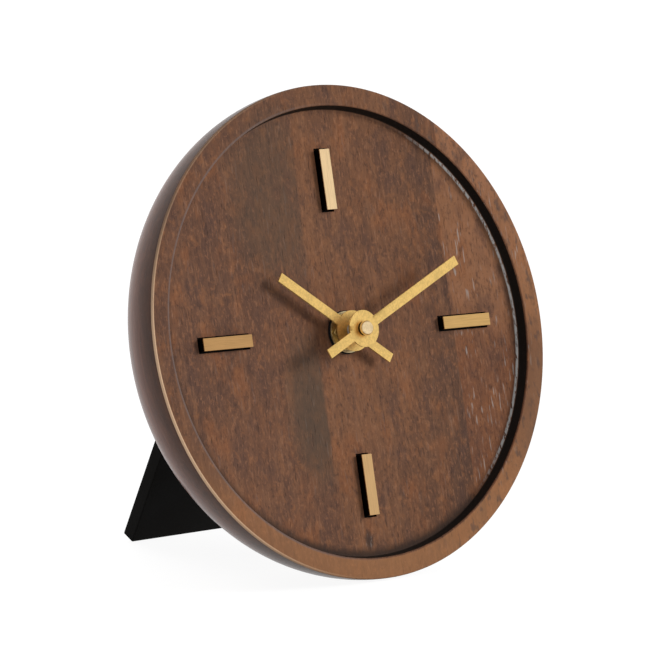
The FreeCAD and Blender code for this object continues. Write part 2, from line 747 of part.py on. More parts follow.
leaf = number("dims.leaf_length")
sheet_thickness = number("dims.wheel_sheet")
arbor_front = number(f"{PIVOT_FRONT} + dims.end_play")
arbor_back = number(f"{INNER_REAR} - dims.end_play")
thin = number("dims.pin_arbor")
run_fit = number("dims.run_fit")
tube = number("dims.tube_radius")
arbor_radius = number("dims.arbor_radius")
third_way = number("dims.third_bearing")
fifth_way = number("dims.fifth_bearing")
rotor_way = number("dims.rotor_bearing")
OPPOSITE = 180


def wheel_span(wheel):
    """The front and back depths of a wheel's disc."""
    front = number(LEVELS[wheel])
    return front, front + sheet_thickness


def leaf_span(wheel):
    """The front and back depths of the pinion that meshes with a wheel, which it overhangs."""
    front, back = wheel_span(wheel)
    overhang = (leaf - sheet_thickness) / 2
    return front - overhang, back + overhang


hour_front, hour_back = wheel_span("hour")
motion_front, motion_back = wheel_span("motion")
centre_front, centre_back = wheel_span("centre")

wheel_on_arbor(
    "hour_wheel",
    "centre",
    [
        toothed(HOUR_TEETH, HOUR_PITCH, hour_front, hour_back, 0),
        rod(tube, -number("dims.hour_height"), hour_back),
    ],
    rod(arbor_radius + run_fit, -number("dims.hour_height"), hour_back),
)
cannon_front, cannon_back = leaf_span("motion")
sleeve_back = centre_back + number("dims.sleeve_over")
wheel_on_arbor(
    "cannon_pinion",
    "centre",
    [
        rod(arbor_radius, -number("dims.minute_height"), sleeve_back),
        toothed(CANNON_TEETH, number("dims.motion_pitch"), cannon_front, cannon_back, 0),
    ],
    rod(thin + run_fit, hour_front, sleeve_back),
)
pinion_front, pinion_back = leaf_span("hour")
wheel_on_arbor(
    "motion_wheel",
    "motion",
    [
        rod(number("dims.knob_arbor"), arbor_front, number(f"{REAR} + dims.knob_gap")),
        toothed(
            MOTION_TEETH,
            number("dims.motion_pitch"),
            motion_front,
            motion_back,
            OPPOSITE + half_step(MOTION_TEETH),
        ),
        toothed(
            MOTION_LEAVES,
            HOUR_PITCH,
            pinion_front,
            pinion_back,
            OPPOSITE + half_step(MOTION_LEAVES),
        ),
    ],
)
wheel_on_arbor(
    "centre_wheel",
    "centre",
    [
        toothed(
            CENTRE_TEETH, number("dims.centre_pitch"), centre_front, centre_back, third_way
        )
    ],
    rod(arbor_radius + run_fit, centre_front, centre_back),
)
third_front, third_back = wheel_span("third")
leaf_front, leaf_back = leaf_span("centre")
wheel_on_arbor(
    "third_wheel",
    "third",
    [
        rod(thin, arbor_front, arbor_back),
        toothed(
            THIRD_LEAVES,
            number("dims.centre_pitch"),
            leaf_front,
            leaf_back,
            third_way + OPPOSITE + half_step(THIRD_LEAVES),
        ),
        toothed(
            THIRD_TEETH,
            THIRD_PITCH,
            third_front,
            third_back,
            third_way + OPPOSITE + half_step(THIRD_TEETH),
        ),
    ],
)
seconds_front, seconds_back = wheel_span("seconds")
leaf_front, leaf_back = leaf_span("third")
wheel_on_arbor(
    "seconds_wheel",
    "centre",
    [
        rod(thin, hour_front + number("dims.seconds_back"), arbor_back),
        toothed(SECONDS_LEAVES, THIRD_PITCH, leaf_front, leaf_back, third_way),
        toothed(
            SECONDS_TEETH,
            number("dims.seconds_pitch"),
            seconds_front,
            seconds_back,
            fifth_way,
        ),
    ],
)
fifth_front, fifth_back = wheel_span("fifth")
leaf_front, leaf_back = leaf_span("seconds")
wheel_on_arbor(
    "fifth_wheel",
    "fifth",
    [
        rod(thin, arbor_front, arbor_back),
        toothed(
            FIFTH_LEAVES,
            number("dims.seconds_pitch"),
            leaf_front,
            leaf_back,
            fifth_way + OPPOSITE + half_step(FIFTH_LEAVES),
        ),
        toothed(
            FIFTH_TEETH,
            number("dims.rotor_pitch"),
            fifth_front,
            fifth_back,
            rotor_way,
        ),
    ],
)
leaf_front, leaf_back = leaf_span("fifth")
magnet_middle = number(f"{STATOR_FRONT} + dims.stator_sheet / 2")
magnet_half = number("dims.magnet_length") / 2
wheel_on_arbor(
    "rotor",
    "rotor",
    [
        rod(thin, arbor_front, arbor_back),
        toothed(
            ROTOR_LEAVES,
            number("dims.rotor_pitch"),
            leaf_front,
            leaf_back,
            rotor_way + OPPOSITE + half_step(ROTOR_LEAVES),
        ),
        rod(
            number("dims.magnet_radius"),
            magnet_middle - magnet_half,
            magnet_middle + magnet_half,
        ),
    ],
)

# The stepping motor: a soft-iron loop round the magnet, with the coil on its top limb.
STATOR_BACK = f"({STATOR_FRONT} + dims.stator_sheet)"
ROTOR_X, ROTOR_Z = ARBORS["rotor"]
FIFTH_X, FIFTH_Z = ARBORS["fifth"]
POLE = "(dims.magnet_radius + dims.stator_gap)"
CORE_TOP = "(dims.coil_height + dims.core_width / 2)"
CORE_BOTTOM = "(dims.coil_height - dims.core_width / 2)"
YOKE_TOP = f"({ROTOR_Z} + {POLE} + dims.yoke_above)"
YOKE_BOTTOM = f"({ROTOR_Z} - {POLE} - dims.yoke_below)"
ARM_BOTTOM = f"({FIFTH_Z} + dims.arm_rise)"
ARM_TOP = f"({ARM_BOTTOM} + dims.limb_width)"
YOKE_LEFT = f"({FIFTH_X} - dims.boss_radius - dims.yoke_beside)"
stator = new_body("stator", clock_frame)
padded(
    stator,
    "loop",
    outline,
    STATOR_FRONT,
    STATOR_BACK,
    [
        ("dims.coil_left - dims.limb_width", ARM_BOTTOM),
        (YOKE_LEFT, ARM_BOTTOM),
        (YOKE_LEFT, YOKE_BOTTOM),
        ("dims.coil_right + dims.limb_width", YOKE_BOTTOM),
        ("dims.coil_right + dims.limb_width", CORE_TOP),
        ("dims.coil_left - dims.limb_width", CORE_TOP),
    ],
)
cut(
    stator,
    "window",
    outline,
    STATOR_FRONT,
    STATOR_BACK,
    [
        ("dims.coil_left", ARM_TOP),
        (YOKE_LEFT, ARM_TOP),
        (YOKE_LEFT, YOKE_TOP),
        ("dims.coil_right", YOKE_TOP),
        ("dims.coil_right", CORE_BOTTOM),
        ("dims.coil_left", CORE_BOTTOM),
    ],
)
cut(stator, "pole_hole", circle, STATOR_FRONT, STATOR_BACK, ROTOR_X, ROTOR_Z, POLE)
cut(
    stator,
    "arbor_hole",
    circle,
    STATOR_FRONT,
    STATOR_BACK,
    FIFTH_X,
    FIFTH_Z,
    "dims.boss_radius",
)

# The coil: copper wire on a bobbin with two cheeks, slid over the core.
STATOR_MIDDLE = f"{STATOR_FRONT} + dims.stator_sheet / 2"
COIL_MIDDLE = "((dims.coil_left + dims.coil_right) / 2)"
coil = new_body(
    "coil", at(clock_frame, COIL_MIDDLE, STATOR_MIDDLE, "dims.coil_height", ACROSS_PIN)
)
CORE_BORE = "(sqrt(dims.core_width ^ 2 + dims.stator_sheet ^ 2) / 2 + dims.core_fit)"
BOBBIN_HALF = "((dims.coil_right - dims.coil_left) / 2 - dims.coil_gap)"
WINDING_HALF = f"({BOBBIN_HALF} - dims.cheek_sheet)"
turned(
    coil,
    "winding",
    [
        (CORE_BORE, f"-{BOBBIN_HALF}"),
        ("dims.cheek_radius", f"-{BOBBIN_HALF}"),
        ("dims.cheek_radius", f"-{WINDING_HALF}"),
        ("dims.coil_radius", f"-{WINDING_HALF}"),
        ("dims.coil_radius", WINDING_HALF),
        ("dims.cheek_radius", WINDING_HALF),
        ("dims.cheek_radius", BOBBIN_HALF),
        (CORE_BORE, BOBBIN_HALF),
    ],
)

# The circuit board, with its drop of resin, and the quartz crystal in its can.
BOARD_LEFT = f"(-{CAVITY} + dims.board_gap)"
BOARD_RIGHT = "(dims.coil_left - dims.limb_width - dims.board_clear)"
BOARD_BOTTOM = f"({BAY_WALL_TOP} + dims.board_gap)"
BOARD_MIDDLE = f"(({BOARD_LEFT} + {BOARD_RIGHT}) / 2)"
board = new_body("circuit_board", clock_frame)
padded(
    board,
    "board",
    rectangle,
    STATOR_FRONT,
    f"{STATOR_FRONT} + dims.board_sheet",
    BOARD_LEFT,
    BOARD_BOTTOM,
    BOARD_RIGHT,
    f"{BOARD_BOTTOM} + dims.board_height",
)
padded(
    board,
    "chip",
    circle,
    f"{STATOR_FRONT} - dims.chip_rise",
    STATOR_FRONT,
    BOARD_MIDDLE,
    f"{BOARD_BOTTOM} + dims.chip_up",
    "dims.chip_radius",
)
dress(
    board,
    "Chamfer",
    "chip_edge",
    "dims.chip_slope",
    ring_edge("dims.chip_radius", f"{STATOR_FRONT} - dims.chip_rise"),
)
crystal = new_body(
    "quartz_crystal",
    at(
        clock_frame,
        BOARD_MIDDLE,
        f"{STATOR_FRONT} - dims.crystal_radius",
        f"{BOARD_BOTTOM} + dims.crystal_up",
        ACROSS_PIN,
    ),
)
turned(
    crystal,
    "can",
    [
        ("0", "-dims.crystal_length / 2"),
        ("dims.crystal_radius", "-dims.crystal_length / 2"),
        ("dims.crystal_radius", "dims.crystal_length / 2"),
        ("0", "dims.crystal_length / 2"),
    ],
)

# The cell lies across the bay, held between two bent leaf contacts.
battery = new_body(
    "battery", at(clock_frame, "0", BATTERY_DEPTH, BATTERY_HEIGHT, ACROSS_PIN)
)
CELL_HALF = "(dims.battery_length / 2)"
SHOULDER = f"({CELL_HALF} - dims.button_length)"
turned(
    battery,
    "cell",
    [
        ("0", f"-{CELL_HALF}"),
        ("dims.battery_radius - dims.battery_bevel", f"-{CELL_HALF}"),
        ("dims.battery_radius", f"-{CELL_HALF} + dims.battery_bevel"),
        ("dims.battery_radius", f"{SHOULDER} - dims.battery_bevel"),
        ("dims.battery_radius - dims.battery_bevel", SHOULDER),
        ("dims.button_radius", SHOULDER),
        ("dims.button_radius", CELL_HALF),
        ("0", CELL_HALF),
    ],
)
CONTACT_OUT = f"({CAVITY} - dims.contact_gap)"
CONTACT_IN = f"({CELL_HALF} + dims.contact_gap)"
CONTACT_FRONT = f"({BATTERY_DEPTH} - dims.contact_width / 2)"
CONTACT_BACK = f"({BATTERY_DEPTH} + dims.contact_width / 2)"
CONTACT_LOW = f"({BATTERY_HEIGHT} - dims.contact_width / 2)"
CONTACT_HIGH = f"({BATTERY_HEIGHT} + dims.contact_width / 2)"


def leaf_contact(label, side):
    """A strip of sprung metal on the bay's end wall, kinked in to press on the cell."""
    facing = FreeCAD.Rotation(Y_AXIS, 0 if side > 0 else 180)
    middle = "0" if side > 0 else f"(2 * {BATTERY_HEIGHT})"
    body = new_body(label, at(clock_frame, "0", "0", middle, facing))
    padded(
        body,
        "leaf",
        outline,
        CONTACT_FRONT,
        CONTACT_BACK,
        [
            (f"{CONTACT_OUT} - dims.contact_sheet", CONTACT_LOW),
            (CONTACT_OUT, CONTACT_LOW),
            (CONTACT_OUT, CONTACT_HIGH),
            (f"{CONTACT_OUT} - dims.contact_sheet", CONTACT_HIGH),
            (CONTACT_IN, f"{BATTERY_HEIGHT} + dims.contact_nose / 2"),
            (CONTACT_IN, f"{BATTERY_HEIGHT} - dims.contact_nose / 2"),
        ],
    )


leaf_contact("battery_contact_positive", 1)
leaf_contact("battery_contact_negative", -1)

# The hand-setting knob, fluted, on the end of the motion wheel's arbor.
KNOB_FRONT = f"({REAR} + dims.knob_gap)"
KNOB_BACK = f"({KNOB_FRONT} + dims.knob_length)"
FLUTES = 16
knob = new_body("setting_knob", at(clock_frame, ARBORS["motion"][0], "0", "0"))
padded(knob, "grip", circle, KNOB_FRONT, KNOB_BACK, "0", "0", "dims.knob_radius")
flute = cut(
    knob,
    "flute",
    circle,
    KNOB_FRONT,
    KNOB_BACK,
    "0",
    "dims.knob_radius + dims.flute_out",
    "dims.flute_radius",
)
round_pattern(knob, flute, "flutes", FLUTES)

# The hands: flat brass batons with a round eye and a collet behind it.
minute_turn = number("dims.minutes_past * 6")
hour_turn = 300 + number("dims.minutes_past / 2")


def new_hand(label, bearing, reach, tail, eye, height, bore, collet):
    """A baton hand, drawn upright and turned to the time."""
    place = at(clock_frame, rotation=FreeCAD.Rotation(Y_AXIS, bearing))
    body = new_body(label, place)
    face = f"(-{height})"
    back = f"(dims.hand_sheet - {height})"
    end = f"({back} + {collet})"
    half = "dims.hand_width / 2"
    padded(body, "baton", rectangle, face, back, f"-{half}", f"-{tail}", half, reach)
    padded(body, "eye", circle, face, back, "0", "0", eye)
    padded(body, "collet", circle, back, end, "0", "0", "dims.collet_radius")
    cut(body, "bore", circle, face, end, "0", "0", bore)
    return body


new_hand(
    "hour_hand",
    hour_turn,
    "dims.hour_reach",
    "dims.hour_tail",
    "dims.hour_eye",
    "dims.hour_height",
    "dims.tube_radius",
    "(dims.bushing_tip + dims.hour_height - dims.hand_sheet - dims.collet_gap)",
)
minute_hand = new_hand(
    "minute_hand",
    minute_turn,
    "dims.minute_reach",
    "dims.minute_tail",
    "dims.minute_eye",
    "dims.minute_height",
    "dims.arbor_radius",
    "dims.collet_length",
)
turned(
    minute_hand,
    "dish",
    [
        ("0", "-dims.minute_height"),
        ("dims.dish_radius", "-dims.minute_height"),
        ("dims.dish_floor", "dims.dish_sink - dims.minute_height"),
        ("0", "dims.dish_sink - dims.minute_height"),
    ],
    "Groove",
)
cap = new_body("minute_cap", clock_frame)
CAP_FRONT = "(-dims.minute_height - dims.cap_height)"
turned(
    cap,
    "cap",
    [
        ("0", CAP_FRONT),
        ("dims.cap_radius - dims.cap_dome", f"{CAP_FRONT} + dims.cap_crown"),
        ("dims.cap_radius", f"{CAP_FRONT} + dims.cap_dome"),
        ("dims.cap_radius", "-dims.minute_height - dims.cap_neck"),
        ("dims.arbor_radius", "-dims.minute_height"),
        ("0", "-dims.minute_height"),
    ],
)

# The back cover: a black disc screwed into the rebate, with a hole round the knob.
cover = new_body("back_cover", stand_frame)
SLACK_HOLE = "(dims.screw_radius + dims.screw_slack)"
KNOB_X = f"({MOTION_REACH} * cos(dims.case_turn))"
KNOB_Z = f"(-{MOTION_REACH} * sin(dims.case_turn))"
padded(cover, "disc", circle, COVER_SEAT, BACK, "0", "0", "dims.cover_radius")
cut(
    cover,
    "knob_hole",
    circle,
    COVER_SEAT,
    BACK,
    KNOB_X,
    KNOB_Z,
    "dims.knob_radius + dims.knob_clear",
)
BRACKET_SCREW_UP = "(dims.hinge_height + dims.bracket_screw_up)"


def two_circles(sketch, across, up, radius):
    """A pair of circles, one each side of the middle."""
    circle(sketch, across, up, radius)
    circle(sketch, f"-{across}", up, radius)


cut(
    cover,
    "bracket_pilots",
    two_circles,
    COVER_SEAT,
    BACK,
    "dims.bracket_screw_across",
    BRACKET_SCREW_UP,
    "dims.screw_radius + dims.screw_fit",
)
screw_hole = cut(
    cover,
    "screw_hole",
    circle,
    COVER_SEAT,
    BACK,
    "dims.screw_ring * sin(dims.screw_bearing)",
    "dims.screw_ring * cos(dims.screw_bearing)",
    SLACK_HOLE,
)
round_pattern(cover, screw_hole, "screw_holes", 4)
HEAD_RISE = "(dims.screw_head - dims.screw_radius)"
dress(cover, "Chamfer", "countersinks", HEAD_RISE, ring_edge(SLACK_HOLE, BACK))

# The screws, each kind one group of like pieces.


def screw_group(label, corners, spots):
    """Turns one screw about its axis and sets a copy at each (across, up)."""
    radii = [vector(number(radius), number(depth), 0) for radius, depth in corners]
    face = Part.Face(Part.makePolygon(radii + [radii[0]]))
    screw = face.revolve(vector(0, 0, 0), Y_AXIS, 360)
    copies = []
    for across, up in spots:
        copy = screw.copy()
        copy.translate(vector(across, 0, up))
        copies.append(copy)
    new_feature(label, Part.makeCompound(copies), stand_frame)


SCREW_END = f"({BACK} - dims.screw_length)"
ring = number("dims.screw_ring")
ring_angles = [math.radians(number("dims.screw_bearing") + 90 * k) for k in range(4)]
screw_group(
    "cover_screws",
    [
        ("0", f"{SCREW_END} + dims.end_play"),
        ("dims.screw_radius", f"{SCREW_END} + dims.screw_tip"),
        ("dims.screw_radius", f"{BACK} - {HEAD_RISE}"),
        ("dims.screw_head", BACK),
        ("0", BACK),
    ],
    [(ring * math.sin(angle), ring * math.cos(angle)) for angle in ring_angles],
)
BRACKET_SCREW_END = f"({BRACKET_BACK} - dims.bracket_screw_length)"
screw_across = number("dims.bracket_screw_across")
screw_up = number(BRACKET_SCREW_UP)
screw_group(
    "bracket_screws",
    [
        ("0", BRACKET_SCREW_END),
        ("dims.screw_radius", BRACKET_SCREW_END),
        ("dims.screw_radius", BRACKET_BACK),
        ("dims.screw_head", BRACKET_BACK),
        ("dims.screw_head", f"{BRACKET_BACK} + dims.bracket_screw_wall"),
        ("dims.bracket_screw_crown", f"{BRACKET_BACK} + dims.bracket_screw_dome"),
        ("0", f"{BRACKET_BACK} + dims.bracket_screw_dome"),
    ],
    [(-screw_across, screw_up), (screw_across, screw_up)],
)

# The hinge bracket: steel plate with two ears bent back, which carry the pin.
bracket = new_body("hinge_bracket", stand_frame)
padded(
    bracket,
    "plate",
    rectangle,
    BACK,
    BRACKET_BACK,
    "-dims.bracket_width / 2",
    "dims.hinge_height - dims.bracket_below",
    "dims.bracket_width / 2",
    "dims.hinge_height + dims.bracket_above",
)
cut(
    bracket,
    "screw_holes",
    two_circles,
    BACK,
    BRACKET_BACK,
    "dims.bracket_screw_across",
    BRACKET_SCREW_UP,
    SLACK_HOLE,
)


def draw_ear(sketch):
    """The straight stretch of an ear, seen from its side."""
    low = "dims.hinge_height - dims.ear_reach"
    rectangle(sketch, BACK, low, PIN_DEPTH, "dims.hinge_height + dims.ear_reach")


def draw_ear_end(sketch):
    """The round end of an ear, about the pin."""
    circle(sketch, PIN_DEPTH, "dims.hinge_height", "dims.ear_reach")


def sideways(body, name, kind, draw, inner, outer):
    """Fills or cuts between two distances out to the right of the middle."""
    start = inner if kind == "Pad" else outer
    sketch = new_sketch(body, "YZ_Plane", name + "_outline", start)
    draw(sketch)
    made = body.newObject("PartDesign::" + kind, name)
    made.Profile = sketch
    made.setExpression("Length", f"({outer}) - ({inner})")
    return made


right_ear = sideways(bracket, "ear", "Pad", draw_ear, EAR_INNER, EAR_OUTER)
right_end = sideways(bracket, "ear_end", "Pad", draw_ear_end, EAR_INNER, EAR_OUTER)
left_ear = bracket.newObject("PartDesign::Mirrored", "other_ear")
left_ear.Originals = [right_ear, right_end]
left_ear.MirrorPlane = (origin_plane(bracket, "YZ_Plane"), [""])
bracket.Tip = left_ear


def draw_pin_hole(sketch):
    """The pin's hole through both ears."""
    circle(sketch, PIN_DEPTH, "dims.hinge_height", "dims.pin_radius + dims.pin_fit")


sideways(bracket, "pin_holes", "Pocket", draw_pin_hole, f"-{EAR_OUTER}", EAR_OUTER)

pin = new_body(
    "hinge_pin", at(stand_frame, "0", PIN_DEPTH, "dims.hinge_height", ACROSS_PIN)
)
HEAD_START = f"({EAR_OUTER} + dims.pin_fit)"
turned(
    pin,
    "pin",
    [
        ("0", f"-{HEAD_START} - dims.pin_head_length"),
        ("dims.pin_head", f"-{HEAD_START} - dims.pin_head_wall"),
        ("dims.pin_head", f"-{HEAD_START}"),
        ("dims.pin_radius", f"-{HEAD_START}"),
        ("dims.pin_radius", HEAD_START),
        ("dims.pin_head", HEAD_START),
        ("dims.pin_head", f"{HEAD_START} + dims.pin_head_wall"),
        ("0", f"{HEAD_START} + dims.pin_head_length"),
    ],
)

# The easel leg: a black wooden plate on the pin. Its heel meets the bracket when it is open.
easel_leg = new_body("easel_leg", leg_frame)
LEG_HALF = "dims.leg_width / 2"
LEG_FACE = "dims.leg_thickness / 2"
padded(
    easel_leg,
    "plate",
    outline,
    f"-{LEG_FACE}",
    LEG_FACE,
    [
        (f"-{LEG_HALF}", f"-{LEG_LENGTH}"),
        (LEG_HALF, f"-{LEG_LENGTH}"),
        (LEG_HALF, "-dims.shoulder_drop"),
        (KNUCKLE, "-dims.shoulder_drop"),
        (KNUCKLE, HEEL),
        (f"-{KNUCKLE}", HEEL),
        (f"-{KNUCKLE}", "-dims.shoulder_drop"),
        (f"-{LEG_HALF}", "-dims.shoulder_drop"),
    ],
)


def draw_knuckle_bore(sketch):
    """The running hole for the pin."""
    circle(sketch, "0", "0", "dims.pin_radius + dims.run_fit")


sideways(easel_leg, "bore", "Pocket", draw_knuckle_bore, f"-{KNUCKLE}", KNUCKLE)


def long_side(edge):
    """Picks the upright corners down both sides of the leg."""
    ends = [v.Point for v in edge.Vertexes]
    return (
        len(ends) == 2
        and abs(abs(ends[0].x) - number(LEG_HALF)) < 1e-4
        and abs(ends[0].x - ends[1].x) < 1e-4
        and abs(ends[0].y - ends[1].y) < 1e-4
    )


dress(easel_leg, "Fillet", "soft_edges", "dims.leg_round", long_side)

# Every feature and every finished solid is sound before anything is written.
doc.recompute()
for item in doc.Objects:
    if "Invalid" in item.State or "Error" in item.State:
        raise RuntimeError(f"{item.Name} failed: {item.State}")
os.makedirs("parts", exist_ok=True)
for label, piece in pieces.items():
    if piece.Shape.isNull() or not piece.Shape.isValid() or not piece.Shape.Solids:
        raise RuntimeError(f"{label} has no sound solid")
for label, piece in pieces.items():
    piece.Shape.exportStep(f"parts/{label}.step")
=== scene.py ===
import json
import math

import bpy
from mathutils import Matrix, Vector


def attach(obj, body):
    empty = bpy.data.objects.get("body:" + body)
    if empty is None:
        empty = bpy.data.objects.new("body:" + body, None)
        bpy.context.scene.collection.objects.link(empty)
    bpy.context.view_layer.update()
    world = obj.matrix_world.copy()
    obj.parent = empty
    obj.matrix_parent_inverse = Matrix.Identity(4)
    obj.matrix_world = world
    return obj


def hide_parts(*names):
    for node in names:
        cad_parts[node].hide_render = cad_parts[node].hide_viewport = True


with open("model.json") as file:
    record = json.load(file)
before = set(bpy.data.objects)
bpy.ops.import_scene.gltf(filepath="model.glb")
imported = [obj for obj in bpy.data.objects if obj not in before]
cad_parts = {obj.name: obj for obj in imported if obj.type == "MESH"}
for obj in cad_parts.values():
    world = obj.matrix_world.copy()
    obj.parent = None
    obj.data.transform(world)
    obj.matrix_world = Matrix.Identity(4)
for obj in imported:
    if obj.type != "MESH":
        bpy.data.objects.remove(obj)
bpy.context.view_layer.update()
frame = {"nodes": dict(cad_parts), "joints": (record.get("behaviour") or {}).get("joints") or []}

# The clock's own axes, read from its joints: X to three o'clock, Y from the front rim back
# into the case, Z to twelve. Depths below are measured back from the plane of the rim.
joints = {joint["name"]: joint for joint in frame["joints"]}
MM = 0.001
centre = Vector(joints["minute_turn"]["pos_m"])
inward = Vector(joints["minute_turn"]["axis"]).normalized()
to_three = Vector(joints["motion_turn"]["pos_m"]) - centre
to_three = (to_three - inward * to_three.dot(inward)).normalized()
to_twelve = to_three.cross(inward)
turned_back = Matrix((to_three, inward, to_twelve)).transposed()
clock_frame = Matrix.Translation(centre) @ turned_back.to_4x4()

# The view: a long lens from the clock's left and a little above, as in the photograph. Its
# place was fitted to the rims, the bars, the hands and the foot of the leg.
PHOTO_WIDTH = 667
FOCAL_PIXELS = 6000
SENSOR = 36
FARTHEST_SEEN = 20
EYE_FROM_CENTRE = Vector((-1.16299, -1.39427, 0.27971))
LOOK_RIGHT, LOOK_DOWN = math.radians(39.6446), math.radians(8.7838)
lens = bpy.data.cameras.new("view")
lens.sensor_width = SENSOR
lens.lens = FOCAL_PIXELS / PHOTO_WIDTH * SENSOR
lens.clip_end = FARTHEST_SEEN
view = bpy.data.objects.new("view", lens)
view.location = centre + EYE_FROM_CENTRE
view.rotation_euler = (math.pi / 2 - LOOK_DOWN, 0, -LOOK_RIGHT)
bpy.context.scene.collection.objects.link(view)
bpy.context.scene.camera = view

# The case: one walnut block, glued up from three boards with the grain from twelve to six,
# turned on a lathe to a bowed disc and oiled. The dial is sunk into its face.
CASE_RADIUS, CASE_DEPTH = 76.4, 30
DIAL_RADIUS, DIAL_DEPTH, DIAL_COVE = 68.5, 3.9, 0.7
RIM_INNER = 70.3
INNER_ROUND, OUTER_ROUND = 0.4, 0.6
SIDE_BOW, BOW_FRONT_ANGLE, BOW_BACK_ANGLE = 36, 1.5, 53.7
BACK_SHOULDER, BACK_ROUND = 60.53, 2
COVER_RADIUS, COVER_SEAT = 46.25, 27
POCKET_RADIUS, POCKET_FLOOR = 42, 10
BUSHING_HOLE = 4.3
BAR_LENGTH, BAR_WIDTH, BAR_RING = 18.8, 3.9, 47.3
SLOT_GAP, SLOT_MOUTH, SLOT_FLOOR = 0.5, 1, DIAL_DEPTH + 1.6


def arc(middle, radius, start, end, steps):
    """Points along a round stretch of a lathe profile, as (radius, depth), angles in degrees."""
    angles = [math.radians(start + (end - start) * step / steps) for step in range(steps + 1)]
    return [
        (middle[0] + radius * math.cos(angle), middle[1] + radius * math.sin(angle))
        for angle in angles
    ]


def deselect():
    """Leaves edit mode with nothing selected."""
    if bpy.context.object and bpy.context.object.mode != "OBJECT":
        bpy.ops.object.mode_set(mode="OBJECT")
    bpy.ops.object.select_all(action="DESELECT")


def turned(name, profile, facets):
    """Turns a profile of (radius, depth) corners in millimetres about the clock's Y axis."""
    deselect()
    bpy.ops.mesh.primitive_plane_add(size=MM, location=(0, 0, 0))
    piece = bpy.context.object
    piece.name = name
    bpy.ops.object.mode_set(mode="EDIT")
    bpy.ops.mesh.merge(type="CENTER")
    bpy.ops.transform.translate(value=(profile[0][0] * MM, profile[0][1] * MM, 0))
    corners = profile + profile[:1]
    for (here, depth), (there, deeper) in zip(corners, corners[1:]):
        step = ((there - here) * MM, (deeper - depth) * MM, 0)
        bpy.ops.mesh.extrude_vertices_move(TRANSFORM_OT_translate={"value": step})
    bpy.ops.mesh.select_all(action="SELECT")
    bpy.ops.mesh.spin(
        steps=facets, angle=math.tau, center=(0, 0, 0), axis=(0, 1, 0), use_auto_merge=True
    )
    bpy.ops.mesh.select_all(action="SELECT")
    bpy.ops.mesh.remove_doubles(threshold=1e-6)
    bpy.ops.mesh.normals_make_consistent(inside=False)
    bpy.ops.object.mode_set(mode="OBJECT")
    return piece


def place(piece, matrix):
    """Turns a piece from its drawing axes into its place and leaves the object at the origin."""
    deselect()
    piece.select_set(True)
    bpy.context.view_layer.objects.active = piece
    piece.matrix_world = matrix @ piece.matrix_world
    bpy.ops.object.transform_apply(location=True, rotation=True, scale=True)


def apply_modifier(piece, kind, **settings):
    """Adds a modifier and applies it."""
    deselect()
    piece.select_set(True)
    bpy.context.view_layer.objects.active = piece
    modifier = piece.modifiers.new(kind, kind)
    for name, value in settings.items():
        setattr(modifier, name, value)
    bpy.ops.object.modifier_apply(modifier=modifier.name)


def box(name, low, high):
    """A squared bar between two corners, in millimetres."""
    deselect()
    middle = [(a + b) / 2 * MM for a, b in zip(low, high)]
    bpy.ops.mesh.primitive_cube_add(size=1, location=middle)
    piece = bpy.context.object
    piece.name = name
    piece.scale = [(b - a) * MM for a, b in zip(low, high)]
    bpy.ops.object.transform_apply(location=True, rotation=True, scale=True)
    return piece


def combine(piece, tool, operation):
    """Adds a second solid to the piece or cuts it away, and throws the second away."""
    apply_modifier(piece, "BOOLEAN", operation=operation, solver="EXACT", object=tool)
    bpy.data.objects.remove(tool)


def spun(piece, degrees):
    """Turns a piece clockwise about the clock's axis, from where it is drawn at twelve."""
    place(piece, Matrix.Rotation(math.radians(degrees), 4, "Y"))


case_profile = [
    (BUSHING_HOLE, DIAL_DEPTH),
    *arc((DIAL_RADIUS, DIAL_DEPTH - DIAL_COVE), DIAL_COVE, 90, 0, 4),
    *arc((RIM_INNER, INNER_ROUND), INNER_ROUND, 180, 270, 4),
    *arc((CASE_RADIUS - OUTER_ROUND, OUTER_ROUND), OUTER_ROUND, -90, 0, 6),
    *arc((CASE_RADIUS - SIDE_BOW, OUTER_ROUND), SIDE_BOW, BOW_FRONT_ANGLE, BOW_BACK_ANGLE, 34),
    *arc((BACK_SHOULDER, CASE_DEPTH - BACK_ROUND), BACK_ROUND, 60, 90, 5),
    (COVER_RADIUS, CASE_DEPTH),
    (COVER_RADIUS, COVER_SEAT),
    (POCKET_RADIUS, COVER_SEAT),
    (POCKET_RADIUS, POCKET_FLOOR),
    (BUSHING_HOLE, POCKET_FLOOR),
]
case = turned("turned_case", case_profile, facets=256)
HOUR_ANGLE = 30
for hour in (12, 3, 6, 9):
    reach = BAR_LENGTH / 2 + SLOT_GAP
    half = BAR_WIDTH / 2 + SLOT_GAP
    low = (-half, SLOT_MOUTH, BAR_RING - reach)
    high = (half, SLOT_FLOOR, BAR_RING + reach)
    slot = box("slot", low, high)
    spun(slot, hour * HOUR_ANGLE)
    combine(case, slot, "DIFFERENCE")
place(case, clock_frame)
bpy.ops.object.mode_set(mode="EDIT")
bpy.ops.mesh.select_all(action="SELECT")
bpy.ops.mesh.bisect(
    plane_co=(0, 0, 0), plane_no=(0, 0, 1), use_fill=True, clear_inner=True, threshold=1e-6
)
bpy.ops.object.mode_set(mode="OBJECT")
bpy.ops.object.shade_smooth_by_angle(angle=math.radians(28))


